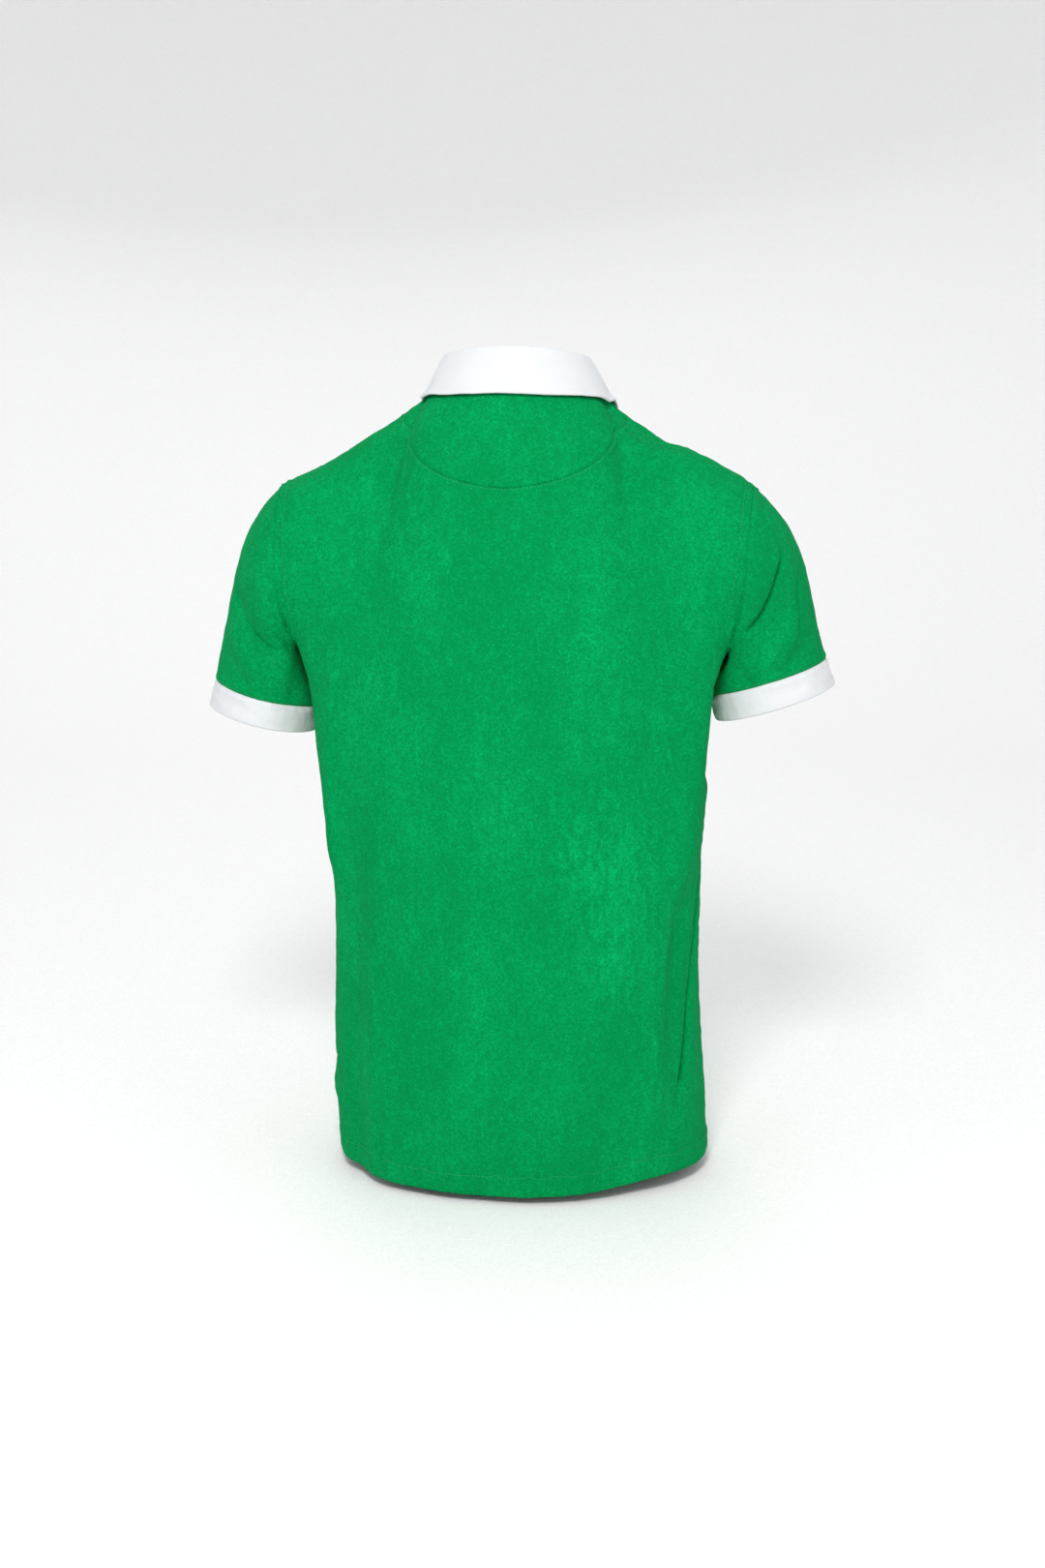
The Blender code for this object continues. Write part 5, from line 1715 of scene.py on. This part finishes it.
@dataclass
class Sewing:
    """The rows of stitching on the panels, each laid a fixed distance from its seam."""

    garment: Garment
    kind: Stitch = Stitch()
    sunk: float = 0.00010         # how far a stitch's middle lies above the ground of the cloth
    half_moon: float = 0.0022     # from the half-moon seam to its row of stitches
    cuff: float = 0.0026          # from a cuff's seam to its row, on the sleeve
    fine_step: float = 0.0015     # between the places where a row is laid on the cloth
    off_panel: float = 0.004      # a place further than this from its panel isn't on it
    break_at: float = 0.006       # a longer step than this breaks the row
    fewest: int = 5               # places in a row that is long enough to stitch

    def beside(self, seam: Seam, panel: str, distance: float) -> list[Array]:
        """Lines on a panel at a distance from a seam, set down on the cloth's outer face.

        A seam that leaves the panel and comes back to it gives a line for each stretch.
        """
        garment, cloth = self.garment, self.garment.cloth
        line = cloth.points[seam.line]
        ahead = np.gradient(line, axis=0)
        if seam.closed:
            ahead = np.roll(line, -1, axis=0) - np.roll(line, 1, axis=0)
        square = unit(np.cross(garment.normals[seam.line], ahead))
        moved = line + cloth.towards(panel, seam, square, distance)
        if seam.closed:
            moved = np.concatenate([moved, moved[:1]])
        fine = along_line(moved, self.fine_step)
        places, normals = garment.ground((panel,)).nearest(fine)
        near = np.linalg.norm(places - fine, axis=1) < self.off_panel
        laid = places[near] + normals[near] * self.sunk
        return np.split(laid, np.flatnonzero(step_lengths(laid) > self.break_at) + 1)

    def build(self, thread: Material) -> list[Piece]:
        """Makes the rows at the hem, armholes, shoulders, half-moon, cuffs and neck."""
        found: dict[str, list[Array]] = {}
        for seam in self.garment.lines:
            panels = {"hem": ("back", "front"), "armhole": ("back", "front"),
                      "shoulder": ("back",), "half_moon": ("back",),
                      "neck": ("front", "back_yoke"), "cuff": seam.panels[:1]}.get(seam.kind, ())
            distance = {"half_moon": self.half_moon, "cuff": self.cuff}.get(
                seam.kind, SEAM_LOOKS[seam.kind].stitch_at)
            for panel in panels:
                for line in self.beside(seam, panel, distance):
                    if len(line) >= self.fewest:
                        found.setdefault(seam.kind, []).append(line)
        return [dressed(stitches(f"{kind}_stitching", lines, self.kind, thread))
                for kind, lines in found.items()]


# ---- the studio
@dataclass(frozen=True)
class Studio:
    """Pale floor that curves up far behind the shirt, soft lights, and the camera."""

    floor_z: float = -0.712
    azimuth: float = 186.5
    distance: float = 2.0
    above: float = 0.42
    aim: Triple = (-0.0045, 0.0, -0.354)
    lens: float = 51.1
    world: float = 0.68           # strength of the even white light from all round

    def sweep(self) -> None:
        """Makes the floor as a grid: level near the shirt, rising in a smooth curve at its rim."""
        radius = np.concatenate([np.linspace(0.02, 2.0, 20), np.linspace(2.1, 6.0, 40)])
        turns = 96
        angle = round_stops(turns)
        rise = 4.5 * smooth((radius - 2.0) / 4.0) ** 1.3
        points = np.stack(np.broadcast_arrays(
            radius[:, None] * np.cos(angle), radius[:, None] * np.sin(angle),
            (self.floor_z + rise)[:, None]), axis=-1).reshape(-1, 3)
        faces = triangles(grid_faces(np.arange(len(points)).reshape(-1, turns), True, True),
                          points)
        middle = fan(len(points), np.arange(turns))
        points = np.concatenate([points, [[0.0, 0.0, self.floor_z]]])
        finish = Plain("studio_floor", (0.98, 0.98, 0.985), 0.95, 700.0, 0.0001).material()
        floor = add_mesh("studio_floor", points, np.concatenate([faces, middle]), finish)

    def stand(self, name: str, data: bpy.types.ID, place: Vector) -> Piece:
        """Puts a light or the camera at a place, so that it faces the middle of the shirt."""
        stood = bpy.data.objects.new(name, data)
        stood.location = place
        stood.rotation_euler = (Vector(self.aim) - place).to_track_quat("-Z", "Y").to_euler()
        bpy.context.scene.collection.objects.link(stood)
        return stood

    def lamp(self, name: str, place: Triple, size: float, power: float) -> None:
        """A square soft white light."""
        light = bpy.data.lights.new(name, "AREA")
        light.size = size
        light.energy = power
        self.stand(name, light, Vector(place)).visible_camera = False

    def camera(self) -> None:
        """Camera at the photograph's viewing angle."""
        turn = math.radians(self.azimuth)
        place = Vector(self.aim) + Vector((math.sin(turn) * self.distance,
                                           -math.cos(turn) * self.distance, self.above))
        data = bpy.data.cameras.new("studio_camera")
        data.lens = self.lens
        data.sensor_width = 36.0
        data.sensor_fit = "AUTO"
        bpy.context.scene.camera = self.stand("studio_camera", data, place)

    def build(self) -> None:
        """Makes the floor, the lights, the world and the camera."""
        self.sweep()
        self.lamp("key", (-0.02, 2.05, 1.35), 0.6, 44.0)
        self.lamp("fill", (-2.4, 1.6, 0.6), 1.8, 4.0)
        self.lamp("front_fill", (0.6, -2.4, 1.6), 2.0, 16.0)
        world = bpy.data.worlds.new("studio_world")
        world.use_nodes = True
        background = world.node_tree.nodes["Background"]
        background.inputs["Color"].default_value = (1.0, 1.0, 1.0, 1.0)
        background.inputs["Strength"].default_value = self.world
        bpy.context.scene.world = world
        bpy.context.scene.view_settings.view_transform = "Standard"
        self.camera()


# ---- the shirt
class SheetCut(NamedTuple):
    """The cut of a piece: width, length and flat area, how it is held, and what it rests on."""

    flat: tuple[float, float]
    area: float
    held: str
    rests_on: tuple[str, ...]


CUTS = {
    "back": SheetCut((0.50, 0.72), 0.326, "hung", ("towelling_back_yoke", "towelling_front")),
    "back_yoke": SheetCut((0.20, 0.10), 0.0183, "hung", ("towelling_front",)),
    "front": SheetCut((0.50, 0.70), 0.325, "hung", ("towelling_back", "towelling_back_yoke")),
    "placket_under": SheetCut((0.034, 0.186), 0.0061, "hung", ("towelling_front",)),
    "sleeve_left": SheetCut((0.40, 0.19), 0.0433, "hung", ("towelling_back", "towelling_front")),
    "sleeve_right": SheetCut((0.40, 0.17), 0.0370, "hung", ("towelling_back", "towelling_front")),
    "cuff_left": SheetCut((0.336, 0.024), 0.0080, "stretched", ("towelling_sleeve_left",)),
    "cuff_right": SheetCut((0.336, 0.024), 0.0080, "stretched", ("towelling_sleeve_right",)),
    "placket_top": SheetCut((0.035, 0.199), 0.0069, "laid", ("towelling_placket_under",)),
    "collar": SheetCut((0.46, 0.10), 0.0400, "folded", ("towelling_front", "towelling_back_yoke")),
}


def measure(wall: Wall) -> Triple:
    """Width, length and area of a wall's outer side, for the log."""
    corners = wall.outer[wall.faces]
    area = np.linalg.norm(np.cross(corners[:, 2] - corners[:, 0], corners[:, 3] - corners[:, 1]),
                          axis=1).sum() / 2
    size = np.ptp(wall.place[np.unique(wall.faces)], axis=0)
    return float(size[0]), float(size[1]), float(area)


def stand_for(piece: Piece, node: str) -> None:
    cut = CUTS[node]
    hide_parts(node)
    list(cut.rests_on)


def main() -> None:
    """Builds the shirt's sub-assemblies in order and reports each piece."""
    logging.basicConfig(level=logging.INFO, format="%(name)s: %(message)s")
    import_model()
    terry, rib = Towelling().material(), Knit("ribbed_knit").material()
    knit = Knit("collar_knit", 0.0016).material()
    thread = Plain("green_thread", (0.001, 0.30, 0.09), 0.9, 1500.0).material()
    white_thread = Plain("white_thread", (0.78, 0.78, 0.76), 0.7, 1500.0).material()
    resin = Plain("button_resin", (0.80, 0.79, 0.75), 0.3, 240.0, 0.00004, 0.4).material()
    garment = Garment()
    pieces: list[Piece] = []
    for name, wall in garment.walls().items():
        if name.startswith("cuff"):
            continue
        pieces.append(wall.build("towelling_" + name, terry, "terry"))
        stand_for(pieces[-1], name)
        LOG.info("%s cut %s", name, measure(wall))
    for arm in garment.arms:
        pieces.append(Cuff(garment, arm).build(rib))
        stand_for(pieces[-1], "cuff_" + arm.word)
    placket = Placket(garment)
    pieces.append(placket.build(terry))
    stand_for(pieces[-1], "placket_top")
    neck_cloth = garment.ground(("front", "placket_under", "back_yoke", "back"))
    pieces.append(Collar(garment, neck_cloth).build(knit))
    stand_for(pieces[-1], "collar")
    pieces += placket.build_buttons(resin, white_thread)
    pieces.append(placket.build_buttonholes(thread))
    topstitching = stitches("placket_stitching", placket.stitch_lines(), Stitch(), thread)
    pieces.append(dressed(topstitching))
    pieces += Sewing(garment).build(thread)
    for piece in pieces:
        LOG.info("%s: %d triangles", piece.name, len(piece.data.polygons))
    Studio().build()


if __name__ == "__main__":
    main()
